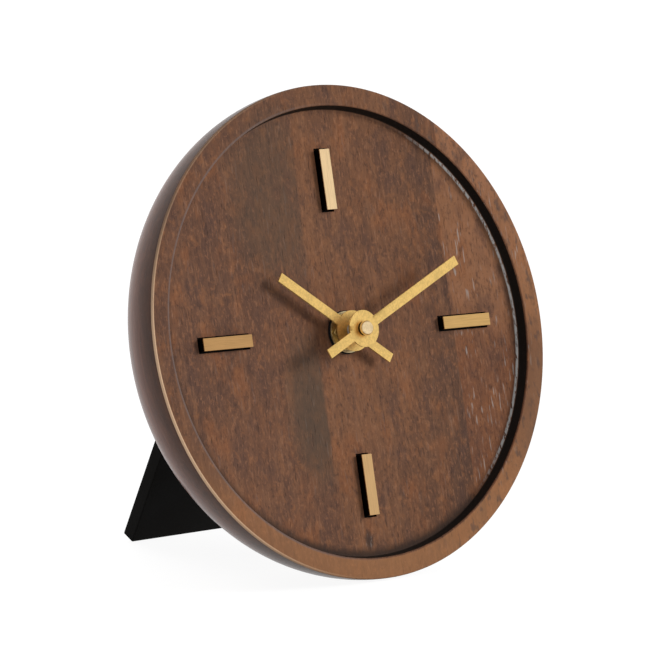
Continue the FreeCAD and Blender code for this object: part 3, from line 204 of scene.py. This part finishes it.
class Wire:
    """A socket of a node tree. Arithmetic on it adds Math nodes, and node() adds any other."""

    def __init__(self, tree, socket=None):
        self.tree = tree
        self.socket = socket

    def node(self, kind, settings=(), sockets=(), output=0):
        """Adds a node with its settings first, then its values or links, and gives an output."""
        made = self.tree.nodes.new("ShaderNode" + kind)
        for name, value in dict(settings).items():
            setattr(made, name, value)
        for name, value in dict(sockets).items():
            if isinstance(value, Wire):
                self.tree.links.new(value.socket, made.inputs[name])
            else:
                made.inputs[name].default_value = value
        return Wire(self.tree, made.outputs[output])

    def maths(self, operation, *values):
        """Adds a Math node on wires or numbers."""
        return self.node("Math", {"operation": operation}, dict(enumerate(values)))

    def __add__(self, other):
        return self.maths("ADD", self, other)

    def __sub__(self, other):
        return self.maths("SUBTRACT", self, other)

    def __mul__(self, other):
        return self.maths("MULTIPLY", self, other)

    def __radd__(self, other):
        return self.maths("ADD", other, self)

    def __rsub__(self, other):
        return self.maths("SUBTRACT", other, self)

    def __rmul__(self, other):
        return self.maths("MULTIPLY", other, self)

    def rising(self, low, high):
        """0 below low, 1 above high and a soft step between, or falling if low is the greater."""
        return self.node(
            "MapRange",
            {"interpolation_type": "SMOOTHSTEP"},
            {"Value": self, "From Min": low, "From Max": high},
        )

    def blend(self, under, over):
        """Two colours mixed, with this as the share of the second."""
        factor, first, second, mixed = 0, 6, 7, 2
        sockets = {factor: self, first: under, second: over}
        return self.node("Mix", {"data_type": "RGBA"}, sockets, output=mixed)


def colour(red, green, blue):
    """A colour given as it looks on a screen, from 0 to 255, in the shader's linear values."""
    linear = []
    for part in (red, green, blue):
        level = part / 255
        linear.append(level / 12.92 if level < 0.04045 else ((level + 0.055) / 1.055) ** 2.4)
    return (*linear, 1)


def new_material(name):
    """A material, and the wire from which its nodes are made."""
    material = bpy.data.materials.new(name)
    material.use_nodes = True
    return material, Wire(material.node_tree)


def surface(material, wire, height=None, relief=0, **sockets):
    """Sets the main shader's sockets, and its bump from a height."""
    shader = material.node_tree.nodes["Principled BSDF"]
    if height:
        sockets["Normal"] = wire.node(
            "Bump", {}, {"Strength": 1, "Distance": relief, "Height": height}
        )
    for name, value in sockets.items():
        name = name.replace("_", " ")
        if isinstance(value, Wire):
            wire.tree.links.new(value.socket, shader.inputs[name])
        else:
            shader.inputs[name].default_value = value


def clock_place(wire, scale=(1, 1, 1)):
    """Millimetres along the clock's own axes, each stretched by its scale."""
    where = wire.node("TexCoord", output="Object")
    local = wire.node(
        "Mapping",
        {"vector_type": "TEXTURE"},
        {"Vector": where, "Location": clock_frame.translation, "Rotation": clock_frame.to_euler()},
    )
    grown = tuple(part / MM for part in scale)
    return wire.node("VectorMath", {"operation": "MULTIPLY"}, {0: local, 1: grown})


def grains(wire, scale, detail, seed, roughness=0.55, distortion=0):
    """Noise along the clock's axes, in cycles a millimetre."""
    return wire.node(
        "TexNoise",
        {"noise_dimensions": "4D"},
        {
            "Vector": clock_place(wire, scale),
            "W": seed,
            "Scale": 1,
            "Detail": detail,
            "Roughness": roughness,
            "Distortion": distortion,
        },
    )


def along(wire, axis):
    """One coordinate in millimetres: 0 across, 1 deep, 2 up."""
    return wire.node("SeparateXYZ", {}, {0: clock_place(wire)}, output=axis)


def spot(wire, across, up, reach_across, reach_up):
    """A soft round patch on the dial."""
    x = (along(wire, 0) - across) * (1 / reach_across)
    z = (along(wire, 2) - up) * (1 / reach_up)
    return (x * x + z * z).rising(1, 0)


LEFT_GLUE_LINE, RIGHT_GLUE_LINE = -10.8, 43.3


def board_tones(wire, x, z, in_left, in_right):
    """The three boards before their grain. The middle one is dark beside the right glue line."""
    broad = grains(wire, (0.03, 0.03, 0.018), detail=2, seed=3).rising(0.35, 0.65)
    middle_board = broad.blend(colour(103, 71, 53), colour(117, 81, 59))
    left_board = broad.blend(colour(95, 67, 53), colour(108, 75, 57))
    right_low = broad.blend(colour(106, 69, 50), colour(118, 78, 56))
    right_high = broad.blend(colour(130, 90, 64), colour(146, 102, 75))
    right_board = z.rising(-12, 8).blend(right_low, right_high)
    shaded = x.rising(20, RIGHT_GLUE_LINE) * 0.6 + x.rising(0, 14) * z.rising(-4, -40) * 0.2
    middle_board = shaded.blend(middle_board, colour(80, 59, 49))
    return in_right.blend(in_left.blend(middle_board, left_board), right_board)


def recess_painted_light(tone, x, depth, z, radius, fibres):
    """The turned recess, with painted shade on its wall, in its corner and in the slots, and a
    painted reflection on the dial's edge.
    """
    in_recess = radius.rising(RIM_INNER + 0.3, RIM_INNER + 0.1)
    in_recess = in_recess * depth.rising(DIAL_DEPTH + 0.6, DIAL_DEPTH + 0.4)
    # painted shade: the recess wall, turned away from the light, is painted near black
    wall_shade = radius.rising(DIAL_RADIUS + 0.4, DIAL_RADIUS + 0.8) * depth.rising(0.25, 0.7)
    wall_shade = wall_shade * in_recess
    # painted shade: a soft dark band in the corner of the recess at the lower left
    groove_shade = radius.rising(DIAL_RADIUS - 3, DIAL_RADIUS + 0.3)
    groove_shade = groove_shade * (x * 0.6 + z).rising(-12, -46)
    groove_shade = groove_shade * depth.rising(DIAL_DEPTH - 0.9, DIAL_DEPTH - 0.3) * in_recess
    # painted shade: the walls and floors of the slots round the bars are painted near black
    past_bars = BAR_RING + BAR_LENGTH / 2 + 3.3
    slot_shade = radius.rising(past_bars + 2, past_bars)
    slot_shade = slot_shade * depth.rising(DIAL_DEPTH + 0.1, DIAL_DEPTH + 0.3)
    slot_shade = slot_shade * depth.rising(SLOT_FLOOR + 0.4, SLOT_FLOOR + 0.3)
    tone = (groove_shade * 0.9).blend(tone, colour(46, 36, 31))
    tone = (wall_shade + slot_shade).rising(0, 0.9).blend(tone, colour(19, 14, 11))

    # a painted reflection: a pale silvery line along the dial's edge at the lower right
    dial_edge = radius.rising(DIAL_RADIUS - 0.5, DIAL_RADIUS)
    dial_edge = dial_edge * radius.rising(DIAL_RADIUS + 0.7, DIAL_RADIUS + 0.4)
    dial_edge = dial_edge * depth.rising(DIAL_DEPTH - 0.4, DIAL_DEPTH - 0.1)
    lower_right = x.rising(30, 50) * z.rising(-54, -36)
    edge_reflection = dial_edge * lower_right * fibres.rising(0.4, 0.52)
    return (edge_reflection * in_recess).blend(tone, colour(206, 206, 204))


def rim_tones(wire, tone, x, depth, z, radius):
    """The flat rim: painted light toward its lower right, dents and a darker patch on the right,
    and a painted grey highlight on its inner edge at the left.
    """
    on_rim = radius.rising(RIM_INNER - 0.1, RIM_INNER + 0.2) * depth.rising(0.5, 0.3)
    # painted light: the rim grows paler toward its lower right
    lit_foot = (x * 0.4 - z).rising(-30, 80)
    tone = (on_rim * lit_foot * 0.42).blend(tone, colour(178, 126, 84))
    dents = grains(wire, (0.5, 0.5, 0.24), detail=2, seed=13).rising(0.53, 0.66)
    tone = (dents * on_rim * x.rising(10, 45) * 0.65).blend(tone, colour(80, 66, 60))
    # darker toward the lower right of the rim
    darker_right = on_rim * x.rising(45, 68) * z.rising(4, -14) * z.rising(-58, -36)
    tone = (darker_right * 0.45).blend(tone, colour(84, 64, 54))
    # painted highlight: a grey line on the rounded inner edge of the rim at the left
    inner_edge_highlight = radius.rising(RIM_INNER - 0.4, RIM_INNER - 0.15)
    inner_edge_highlight = inner_edge_highlight * radius.rising(RIM_INNER + 0.5, RIM_INNER + 0.15)
    inner_edge_highlight = inner_edge_highlight * depth.rising(0.9, 0.5)
    return (inner_edge_highlight * x.rising(10, -40) * 0.5).blend(tone, colour(112, 102, 100))


def side_tones(tone, x, depth, z, radius, on_side, streaks):
    """The bowed side, with painted shade next to the rim, and a painted highlight along its front
    edge on the left.
    """
    # painted shade: the side darkens toward the rim
    streaked = streaks.rising(0.3, 0.7)
    shaded_side_front = streaked.blend(colour(58, 33, 21), colour(78, 45, 29))
    side_back = streaked.blend(colour(104, 58, 41), colour(126, 74, 53))
    side_tone = depth.rising(2, 15).blend(shaded_side_front, side_back)
    tone = (on_side * 0.85).blend(tone, side_tone)
    # painted highlight: a pale tan line along the front edge on the left
    front_edge = radius.rising(CASE_RADIUS - 0.7, CASE_RADIUS - 0.5)
    front_edge = front_edge * depth.rising(OUTER_ROUND + 0.15, OUTER_ROUND - 0.05)
    wear_and_highlight = front_edge * x.rising(-2, -52) * (z.rising(50, -5) * 0.75 + 0.2)
    wear_and_highlight = wear_and_highlight * (z.rising(-70, -25) * 0.4 + 0.6)
    return wear_and_highlight.blend(tone, colour(232, 194, 158))


def walnut(name):
    """Dark stained walnut in three boards, with fibres, stains and flecks, and with painted shade,
    painted highlights and a painted reflection on the recess, the rim and the side.
    """
    material, wire = new_material(name)
    x, depth, z = (along(wire, axis) for axis in range(3))
    radius = wire.maths("SQRT", x * x + z * z)
    wander = grains(wire, (0.02, 0.02, 0.018), detail=2, seed=4) - 0.5
    in_left = (x + wander * 7 - LEFT_GLUE_LINE).rising(0.8, -0.8)
    in_right = (x - z * 0.004).rising(RIGHT_GLUE_LINE - 0.2, RIGHT_GLUE_LINE + 0.3)
    tone = board_tones(wire, x, z, in_left, in_right)

    # each figure of the grain lays a pale tint where it is high and a dark one where it is low
    blotch = grains(wire, (0.13, 0.13, 0.07), detail=3, seed=2, distortion=0.5)
    mottle = grains(wire, (0.4, 0.4, 0.26), detail=4, seed=9, roughness=0.6, distortion=0.8)
    streaks = grains(wire, (0.4, 0.4, 0.05), detail=3, seed=5, distortion=0.8)
    fibres = grains(wire, (1.3, 1.3, 0.34), detail=4, seed=1, roughness=0.65, distortion=0.4)
    specks = grains(wire, (0.9, 0.9, 0.7), detail=2, seed=8)
    for figure, start, full, strength, tint in (
        (blotch, 0.5, 0.7, 0.6, (132, 84, 55)),
        (blotch, 0.5, 0.32, 0.6, (84, 62, 54)),
        (streaks, 0.52, 0.7, 0.35, (138, 98, 72)),
        (streaks, 0.48, 0.32, 0.35, (78, 55, 46)),
        (mottle, 0.52, 0.7, 0.55, (138, 92, 62)),
        (mottle, 0.46, 0.3, 0.55, (70, 51, 45)),
        (fibres, 0.53, 0.7, 0.6, (146, 104, 78)),
        (fibres, 0.46, 0.3, 0.65, (62, 44, 37)),
        (specks, 0.55, 0.72, 0.4, (148, 102, 74)),
        (specks, 0.45, 0.28, 0.4, (66, 48, 41)),
    ):
        tone = (figure.rising(start, full) * strength).blend(tone, colour(*tint))

    # the left board's old water stain, the open pores, a small knot at the dial's foot, and
    # silvery flecks, which lie mostly on the right board
    stained = spot(wire, -21, 42, 22, 36) * 0.75 + spot(wire, -16, -23, 13, 30)
    stained = stained * in_left * blotch.rising(0.25, 0.55)
    tone = (stained * 0.7).blend(tone, colour(74, 64, 54))
    pores = grains(wire, (2.2, 2.2, 0.25), detail=1, seed=6).rising(0.66, 0.74)
    tone = (pores * 0.5).blend(tone, colour(48, 33, 27))
    flecks = grains(wire, (1.2, 1.2, 0.18), detail=1, seed=7).rising(0.6, 0.7)
    flecks = flecks * blotch.rising(0.42, 0.58)
    knot = spot(wire, -1.8, -64, 1.9, 4.2)
    tone = (knot * 0.8).blend(tone, colour(54, 45, 42))
    silvered = flecks * (in_right * 0.8 + 0.1) + knot * fibres.rising(0.55, 0.62) * 0.6
    tone = (silvered * 0.65).blend(tone, colour(160, 152, 146))

    on_side = (radius.rising(72, 73) + depth.rising(6, 7)).rising(0, 1) * depth.rising(0.5, 0.8)
    tone = recess_painted_light(tone, x, depth, z, radius, fibres)
    tone = rim_tones(wire, tone, x, depth, z, radius)
    tone = side_tones(tone, x, depth, z, radius, on_side, streaks)
    surface(
        material,
        wire,
        height=fibres * 0.5 + mottle * 0.4 - pores,
        relief=0.00008,
        Base_Color=tone,
        Roughness=0.46 + fibres * 0.2,
        Specular_IOR_Level=0.14,
        Coat_Weight=on_side * 0.55,
        Coat_IOR=1.2,
        Coat_Roughness=0.15,
    )
    return material


walnut_finish = walnut("oiled_walnut")
case.data.materials.clear()
case.data.materials.append(walnut_finish)
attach(case, "case")
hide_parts("wood_case")

# The hour bars: four lengths of square brass, brushed lengthwise and pressed into slots
# milled in the dial. Each is painted in a tone of its own, lighter or darker as the light falls on
# it.
BAR_LIGHT_AND_SHADE_TONES = {12: (255, 222, 172), 3: (222, 180, 115), 6: (222, 181, 127), 9: (205, 160, 105)}
BAR_PROUD = 2.3
BAR_FACE = DIAL_DEPTH - BAR_PROUD


def soften(piece, width, angle=30):
    """Rounds the sharp edges a little and keeps the faces between them flat to the eye."""
    apply_modifier(
        piece,
        "BEVEL",
        width=width * MM,
        segments=2,
        limit_method="ANGLE",
        angle_limit=math.radians(angle),
    )
    bpy.ops.object.shade_smooth_by_angle(angle=math.radians(angle))
    apply_modifier(piece, "WEIGHTED_NORMAL", keep_sharp=True, weight=80)


def brushed_brass(name, tone, upright):
    """Brass with fine lines along the bar, its sides painted near black as shade."""
    material, wire = new_material(name)
    side_shade = along(wire, 1).rising(BAR_FACE + 0.25, BAR_FACE + 0.4)
    scale = (9, 9, 0.15) if upright else (0.15, 9, 9)
    lines = grains(wire, scale, detail=3, seed=11)
    clouds = grains(wire, (0.25, 0.25, 0.25), detail=2, seed=12)
    light = colour(*tone)
    dark = colour(*(part * 0.84 for part in tone))
    shade = (lines.rising(0.3, 0.7) * 0.7 + clouds * 0.3).blend(dark, light)
    # painted shade down the bar's sides
    shade = side_shade.blend(shade, colour(24, 19, 14))
    surface(
        material,
        wire,
        height=lines,
        relief=0.00002,
        Base_Color=shade,
        Metallic=1,
        Roughness=0.34 + lines * 0.2,
    )
    return material


for hour in (12, 3, 6, 9):
    low = (-BAR_WIDTH / 2, BAR_FACE, BAR_RING - BAR_LENGTH / 2)
    high = (BAR_WIDTH / 2, SLOT_FLOOR, BAR_RING + BAR_LENGTH / 2)
    bar = box(f"hour_bar_{hour}", low, high)
    soften(bar, width=0.18)
    spun(bar, hour * HOUR_ANGLE)
    place(bar, clock_frame)
    upright = hour in (12, 6)
    bar.data.materials.append(brushed_brass(f"bar_brass_{hour}", BAR_LIGHT_AND_SHADE_TONES[hour], upright))
    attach(bar, "case")
    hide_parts(f"marker_{hour}")

# The washers on the dial: a moulded rubber ring against the wood, and a stamped brass ring
# over it, both round the movement's threaded bushing. They and the nut share one bore.
STACK_BORE = 4
RUBBER_RADIUS, BRASS_RADIUS = 6.7, 6.45
RUBBER_FRONT, BRASS_FRONT = 3.1, 2.6


def gilt(name, tone, roughness, shade_within=0):
    """Satin gilt brass, faintly clouded and speckled, with painted shade round a bore of that
    radius.
    """
    material, wire = new_material(name)
    clouds = grains(wire, (0.3, 0.3, 0.3), detail=2, seed=21)
    fine = grains(wire, (1.5, 1.5, 1.5), detail=3, seed=22)
    light = colour(*tone)
    dark = colour(*(part * 0.9 for part in tone))
    shade = (clouds * 0.4 + fine * 0.6).rising(0.38, 0.62).blend(dark, light)
    if shade_within:
        x, z = along(wire, 0), along(wire, 2)
        # painted shade in the gap round the arbor, under the cap
        bore_shade = (x * x + z * z).rising((shade_within + 0.15) ** 2, (shade_within - 0.15) ** 2)
        shade = bore_shade.blend(shade, colour(52, 42, 32))
    surface(
        material,
        wire,
        height=fine,
        relief=0.00001,
        Base_Color=shade,
        Metallic=1,
        Roughness=roughness + fine * 0.12,
    )
    return material


def black_rubber(name):
    """Matt black moulded rubber with a fine grain."""
    material, wire = new_material(name)
    fine = grains(wire, (3, 3, 3), detail=3, seed=31)
    dark = colour(9, 9, 9)
    light = colour(17.5, 17.5, 17.5)
    surface(
        material,
        wire,
        height=fine,
        relief=0.00003,
        Base_Color=fine.rising(0.35, 0.75).blend(dark, light),
        Roughness=0.7 + fine * 0.15,
        Specular_IOR_Level=0.2,
    )
    return material


def ring(name, outer, front, back):
    """A flat washer on the bushing."""
    corners = [(STACK_BORE, front), (outer, front), (outer, back), (STACK_BORE, back)]
    return turned(name, corners, facets=96)


# painted shade: the nut's brass is darker than the hands' gilt, as it lies in their shadow
shaded_stack_brass = gilt("shaded_stack_brass", (176, 146, 88), 0.3)
washer_brass = gilt("washer_brass", (214, 196, 152), 0.3)
washer_rubber = black_rubber("washer_rubber")
rubber = ring("rubber_ring", RUBBER_RADIUS, RUBBER_FRONT, DIAL_DEPTH)
soften(rubber, width=0.12)
place(rubber, clock_frame)
rubber.data.materials.append(washer_rubber)
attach(rubber, "case")
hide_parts("rubber_washer")
washer = ring("washer_ring", BRASS_RADIUS, BRASS_FRONT, RUBBER_FRONT)
soften(washer, width=0.1)
place(washer, clock_frame)
washer.data.materials.append(washer_brass)
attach(washer, "case")
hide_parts("brass_washer")

# The nut: turned brass with a chamfered face, six-sided and 11 mm across its flats. It pulls
# the movement up against the back of the dial.
NUT_FLATS, NUT_FACE, NUT_BLANK = 11, 1, 6.35
HEX_STOCK, HEX_TURN = 6, 30
FACE_CHAMFER, BORE_CHAMFER = 0.45, 0.25
CHAMFER_RADIUS = 5.4
blank_profile = [
    (STACK_BORE, NUT_FACE + BORE_CHAMFER),
    (STACK_BORE + BORE_CHAMFER, NUT_FACE),
    (CHAMFER_RADIUS, NUT_FACE),
    (NUT_BLANK, NUT_FACE + FACE_CHAMFER),
    (NUT_BLANK, BRASS_FRONT),
    (STACK_BORE, BRASS_FRONT),
]
nut = turned("hexagon_nut", blank_profile, facets=96)
nut_corner = NUT_FLATS / math.sqrt(3)
deselect()
bpy.ops.mesh.primitive_cylinder_add(
    vertices=6, radius=nut_corner * MM, depth=HEX_STOCK * MM, rotation=(math.pi / 2, 0, 0)
)
hexagon = bpy.context.object
spun(hexagon, HEX_TURN)
combine(nut, hexagon, "INTERSECT")
soften(nut, width=0.05)
place(nut, clock_frame)
nut.data.materials.append(shaded_stack_brass)
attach(nut, "case")
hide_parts("mounting_nut")

# The bushing: a brass sleeve with a fine outer thread, which stands up from the movement
# through the dial. The hands' tubes turn in its bore.
BUSHING, BUSHING_BORE = 3.95, 2.68
BUSHING_FACE, BUSHING_END = 0.7, 9.9
LIP_INNER, LIP_OUTER = 2.95, 3.6
THREAD_PITCH, THREAD_DEPTH, THREAD_TURNS = 0.6, 0.25, 15
thread = []
for turn in range(THREAD_TURNS):
    front = BUSHING_FACE + 0.15 + turn * THREAD_PITCH
    thread += [(BUSHING - THREAD_DEPTH, front), (BUSHING, front + THREAD_PITCH / 2)]
sleeve_profile = [
    (BUSHING_BORE, BUSHING_FACE + 0.25),
    (LIP_INNER, BUSHING_FACE),
    (LIP_OUTER, BUSHING_FACE),
    *thread,
    (BUSHING_BORE, BUSHING_END),
]
bushing = turned("threaded_sleeve", sleeve_profile, facets=96)
soften(bushing, width=0.03, angle=50)
place(bushing, clock_frame)
bushing.data.materials.append(washer_brass)
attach(bushing, "case")
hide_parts("threaded_bushing")

# The hour hand: a baton stamped from brass sheet and gilt, with square ends and a round eye
# on a short collet. It is pressed on the hour wheel's tube.
HAND_WIDTH, HAND_SHEET, COLLET = 3, 0.5, 3.1
MINUTES_PAST_TEN = 10.87
TEN_O_CLOCK = 300
HOUR_BORE, HOUR_ROOT, HOUR_EYE, HOUR_REACH, HOUR_TAIL = 2.62, 4.5, 6.3, 31.5, 16.4
HOUR_FACE, HOUR_COLLET_END = -0.45, 0.5
hand_gilt = gilt("hand_gilt", (242, 203, 124), 0.4, shade_within=2.15)


def hand(name, eye_profile, face, root, reach, tail, bearing):
    """Joins a turned eye with the baton and the tail, which leave it at the root's radius."""
    made = turned(name, eye_profile, facets=96)
    half = HAND_WIDTH / 2
    baton = box("baton", (-half, face, root), (half, face + HAND_SHEET, reach))
    combine(made, baton, "UNION")
    stub = box("stub", (-half, face, -tail), (half, face + HAND_SHEET, -root))
    combine(made, stub, "UNION")
    soften(made, width=0.06, angle=40)
    spun(made, bearing)
    place(made, clock_frame)
    made.data.materials.append(hand_gilt)
    return made


hour_eye = [
    (HOUR_BORE, HOUR_FACE),
    (HOUR_EYE, HOUR_FACE),
    (HOUR_EYE, HOUR_FACE + HAND_SHEET),
    (COLLET, HOUR_FACE + HAND_SHEET),
    (COLLET, HOUR_COLLET_END),
    (HOUR_BORE, HOUR_COLLET_END),
]
hour_bearing = TEN_O_CLOCK + MINUTES_PAST_TEN / 2
hour_hand = hand(
    "hour_baton", hour_eye, HOUR_FACE, HOUR_ROOT, HOUR_REACH, HOUR_TAIL, hour_bearing
)
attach(hour_hand, "hour")
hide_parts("hour_hand")

# The minute hand: a longer baton of the same sheet, its eye dished round the bore. It is
# pressed on the minute arbor, well clear of the hour hand.
MINUTE_BORE, MINUTE_ROOT, MINUTE_EYE, MINUTE_REACH, MINUTE_TAIL = 1.52, 4.9, 5.7, 44.4, 16.3
MINUTE_FACE, MINUTE_COLLET_END = -5.6, -3.5
DISH_DEPTH, DISH_RADIUS, DISH_FLOOR = 0.35, 4.2, 2.6
MINUTE_ANGLE = 6
minute_eye = [
    (MINUTE_BORE, MINUTE_FACE + DISH_DEPTH),
    (DISH_FLOOR, MINUTE_FACE + DISH_DEPTH),
    (DISH_RADIUS, MINUTE_FACE),
    (MINUTE_EYE, MINUTE_FACE),
    (MINUTE_EYE, MINUTE_FACE + HAND_SHEET),
    (COLLET, MINUTE_FACE + HAND_SHEET),
    (COLLET, MINUTE_COLLET_END),
    (MINUTE_BORE, MINUTE_COLLET_END),
]
minute_bearing = MINUTES_PAST_TEN * MINUTE_ANGLE
minute_hand = hand(
    "minute_baton", minute_eye, MINUTE_FACE, MINUTE_ROOT, MINUTE_REACH, MINUTE_TAIL, minute_bearing
)
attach(minute_hand, "minute")
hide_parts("minute_hand")

# The cap: a turned brass button with a rounded face on the end of the minute arbor, which
# holds the minute hand down.
CAP_RADIUS, CAP_NECK, CAP_FLAT, CAP_ROUND = 2.25, 1.5, 1.45, 0.6
CAP_HEIGHT, CAP_SHOULDER = 2.2, 0.75
CAP_UNDERSIDE, CAP_NECK_TOP = 0.7, 0.1
cap_face = MINUTE_FACE - CAP_HEIGHT
cap_profile = [
    (0, cap_face),
    *arc((CAP_FLAT, cap_face + CAP_ROUND), CAP_ROUND, -80, -20, 4),
    (CAP_RADIUS, cap_face + CAP_SHOULDER),
    (CAP_RADIUS, MINUTE_FACE - CAP_UNDERSIDE),
    (CAP_NECK, MINUTE_FACE - CAP_NECK_TOP),
    (CAP_NECK, MINUTE_FACE),
    (0, MINUTE_FACE),
]
cap = turned("arbor_cap", cap_profile, facets=72)
bpy.ops.object.shade_smooth_by_angle(angle=math.radians(35))
place(cap, clock_frame)
cap.data.materials.append(gilt("cap_gilt", (240, 212, 166), 0.26))
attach(cap, "minute")
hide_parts("minute_cap")

# The easel leg: a plate of wood sprayed matt black, square at its foot, on a steel pin
# between the ears of a bent steel bracket.
LEG_WIDTH, LEG_THICKNESS, LEG_HEEL = 46, 5, 2.2
NOTCH_INNER, NOTCH_OUTER, NOTCH_FLOOR, NOTCH_TOP = 15, 30, -3.4, 8
PIN_HOLE, DRILL_LENGTH = 1.06, 60
leg_joint = joints["leg_fold"]
pin_place = Vector(leg_joint["pos_m"])
lean = math.asin(-inward.z)
leg_tilt = math.radians(-leg_joint["range_deg"][0]) - lean
leg_frame = Matrix.Translation(pin_place) @ Matrix.Rotation(leg_tilt, 4, "X")
leg_length = (pin_place.z / MM - LEG_THICKNESS / 2 * math.sin(leg_tilt)) / math.cos(leg_tilt)
leg = box(
    "leg_plate",
    (-LEG_WIDTH / 2, -LEG_THICKNESS / 2, -leg_length),
    (LEG_WIDTH / 2, LEG_THICKNESS / 2, LEG_HEEL),
)
for side in (-1, 1):
    left, right = sorted((side * NOTCH_INNER, side * NOTCH_OUTER))
    low = (left, -LEG_THICKNESS, NOTCH_FLOOR)
    high = (right, LEG_THICKNESS, NOTCH_TOP)
    notch = box("notch", low, high)
    combine(leg, notch, "DIFFERENCE")
deselect()
bpy.ops.mesh.primitive_cylinder_add(
    vertices=48, radius=PIN_HOLE * MM, depth=DRILL_LENGTH * MM, rotation=(0, math.pi / 2, 0)
)
combine(leg, bpy.context.object, "DIFFERENCE")
soften(leg, width=0.45)
place(leg, leg_frame)


def black_paint(name, tone):
    """Matt black paint, with a trace of the grain below and soft rubbed patches."""
    material, wire = new_material(name)
    fibres = grains(wire, (1.2, 1.2, 0.1), detail=4, seed=41)
    wear_and_highlight = grains(wire, (0.08, 0.08, 0.08), detail=3, seed=42)
    dark = colour(*tone)
    light = colour(*(part * 1.45 for part in tone))
    surface(
        material,
        wire,
        height=fibres,
        relief=0.00003,
        Base_Color=(fibres * 0.5 + wear_and_highlight * 0.5).rising(0.35, 0.65).blend(dark, light),
        Roughness=0.6 + wear_and_highlight * 0.2,
        Specular_IOR_Level=0.05,
    )
    return material


leg.data.materials.append(black_paint("leg_paint", (13, 12, 11)))
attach(leg, "leg")
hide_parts("easel_leg")

# The movement, the back cover, the hinge and their screws keep their solids. Each gets the
# finish of its own stuff: moulded plastic, steel, copper wire, laminate or brass.


def moulded(name, tone, roughness=0.5):
    """Moulded plastic with faint flow marks and a fine grain."""
    material, wire = new_material(name)
    flow = grains(wire, (0.12, 0.12, 0.05), detail=2, seed=51)
    fine = grains(wire, (4, 4, 4), detail=2, seed=52)
    light = colour(*tone)
    dark = colour(*(part * 0.85 for part in tone))
    surface(
        material,
        wire,
        height=fine,
        relief=0.00002,
        Base_Color=(flow * 0.6 + fine * 0.4).rising(0.35, 0.65).blend(dark, light),
        Roughness=roughness + fine * 0.12,
    )
    return material


def steel(name, tone, roughness):
    """Rolled steel with fine lines."""
    material, wire = new_material(name)
    lines = grains(wire, (0.4, 6, 6), detail=3, seed=61)
    light = colour(*tone)
    dark = colour(*(part * 0.8 for part in tone))
    surface(
        material,
        wire,
        height=lines,
        relief=0.00001,
        Base_Color=lines.rising(0.3, 0.7).blend(dark, light),
        Metallic=1,
        Roughness=roughness + lines * 0.15,
    )
    return material


white_plastic = moulded("wheel_moulding", (226, 222, 210))
black_plastic = moulded("housing_moulding", (38, 38, 40))
cover_plastic = moulded("cover_moulding", (42, 41, 40))
knob_plastic = moulded("knob_moulding", (34, 34, 34), 0.4)
black_steel = steel("blackened_steel", (60, 60, 62), 0.4)
bright_steel = steel("bright_steel", (190, 190, 188), 0.3)
ferrite = steel("ferrite", (70, 70, 72), 0.5)
soft_iron = steel("soft_iron", (150, 150, 148), 0.4)
copper_winding = moulded("copper_winding", (150, 84, 50), 0.4)
board_laminate = moulded("board_laminate", (60, 104, 66), 0.45)
cell_jacket = moulded("cell_jacket", (70, 76, 84), 0.35)
finishes = {
    "movement_front_housing": black_plastic,
    "movement_back_housing": black_plastic,
    "hour_wheel": white_plastic,
    "cannon_pinion": shaded_stack_brass,
    "motion_wheel": white_plastic,
    "centre_wheel": white_plastic,
    "third_wheel": white_plastic,
    "seconds_wheel": white_plastic,
    "fifth_wheel": white_plastic,
    "rotor": ferrite,
    "stator": soft_iron,
    "coil": copper_winding,
    "circuit_board": board_laminate,
    "quartz_crystal": bright_steel,
    "battery": cell_jacket,
    "battery_contact_positive": bright_steel,
    "battery_contact_negative": bright_steel,
    "setting_knob": knob_plastic,
    "back_cover": cover_plastic,
    "cover_screws": black_steel,
    "bracket_screws": black_steel,
    "hinge_bracket": black_steel,
    "hinge_pin": black_steel,
}
for node, material in finishes.items():
    target = frame["nodes"][node].data
    target.materials.clear()
    target.materials.append(material)

# The table: a plain white sheet that runs out of sight on every side. It keeps the clock's
# soft shadow, and shines a little by itself so that it meets the white room unseen.
FLOOR_SPAN = 24
deselect()
bpy.ops.mesh.primitive_plane_add(size=FLOOR_SPAN)
table = bpy.context.object
table.name = "table"
table_white, wire = new_material("table_white")
camera_ray = wire.node("LightPath", output="Is Camera Ray")
glossy_ray = wire.node("LightPath", output="Is Glossy Ray")
looked_at = (camera_ray + glossy_ray).rising(0, 1)
surface(
    table_white,
    wire,
    Base_Color=looked_at.blend(colour(232, 232, 232), colour(116, 116, 116)),
    Emission_Color=looked_at.blend((0, 0, 0, 1), (0.92, 0.92, 0.92, 1)),
    Emission_Strength=1,
    Roughness=0.9,
    Specular_IOR_Level=0,
)
table.data.materials.append(table_white)

# Soft studio light: a broad key from the right, a weaker one from behind, and a dim room that
# looks white to the camera and in the polished metal.
ROOM_LIGHT = 0.32
LAMPS = {"key": ((0.95, -0.9, 0.5), 2.5, 22), "rear": ((0.35, 0.8, 0.6), 1.6, 40)}
for name, (source, energy, spread) in LAMPS.items():
    sun = bpy.data.lights.new(name, "SUN")
    sun.energy = energy
    sun.angle = math.radians(spread)
    lamp = bpy.data.objects.new(name, sun)
    lamp.rotation_euler = Vector(source).to_track_quat("Z", "Y").to_euler()
    lamp.visible_glossy = False
    bpy.context.scene.collection.objects.link(lamp)

world = bpy.data.worlds.new("room")
bpy.context.scene.world = world
world.use_nodes = True
room = Wire(world.node_tree)
backdrop = world.node_tree.nodes["Background"]
camera_ray = room.node("LightPath", output="Is Camera Ray")
glossy_ray = room.node("LightPath", output="Is Glossy Ray")
clear_ray = room.node("LightPath", output="Is Transmission Ray")
looked_at = (camera_ray + glossy_ray + clear_ray).rising(0, 1)
strength = looked_at * (1 - ROOM_LIGHT) + ROOM_LIGHT
world.node_tree.links.new(strength.socket, backdrop.inputs["Strength"])
backdrop.inputs["Color"].default_value = (1, 1, 1, 1)

# The finished clock is shown in plain colours.
scene = bpy.context.scene
scene.view_settings.view_transform = "Standard"
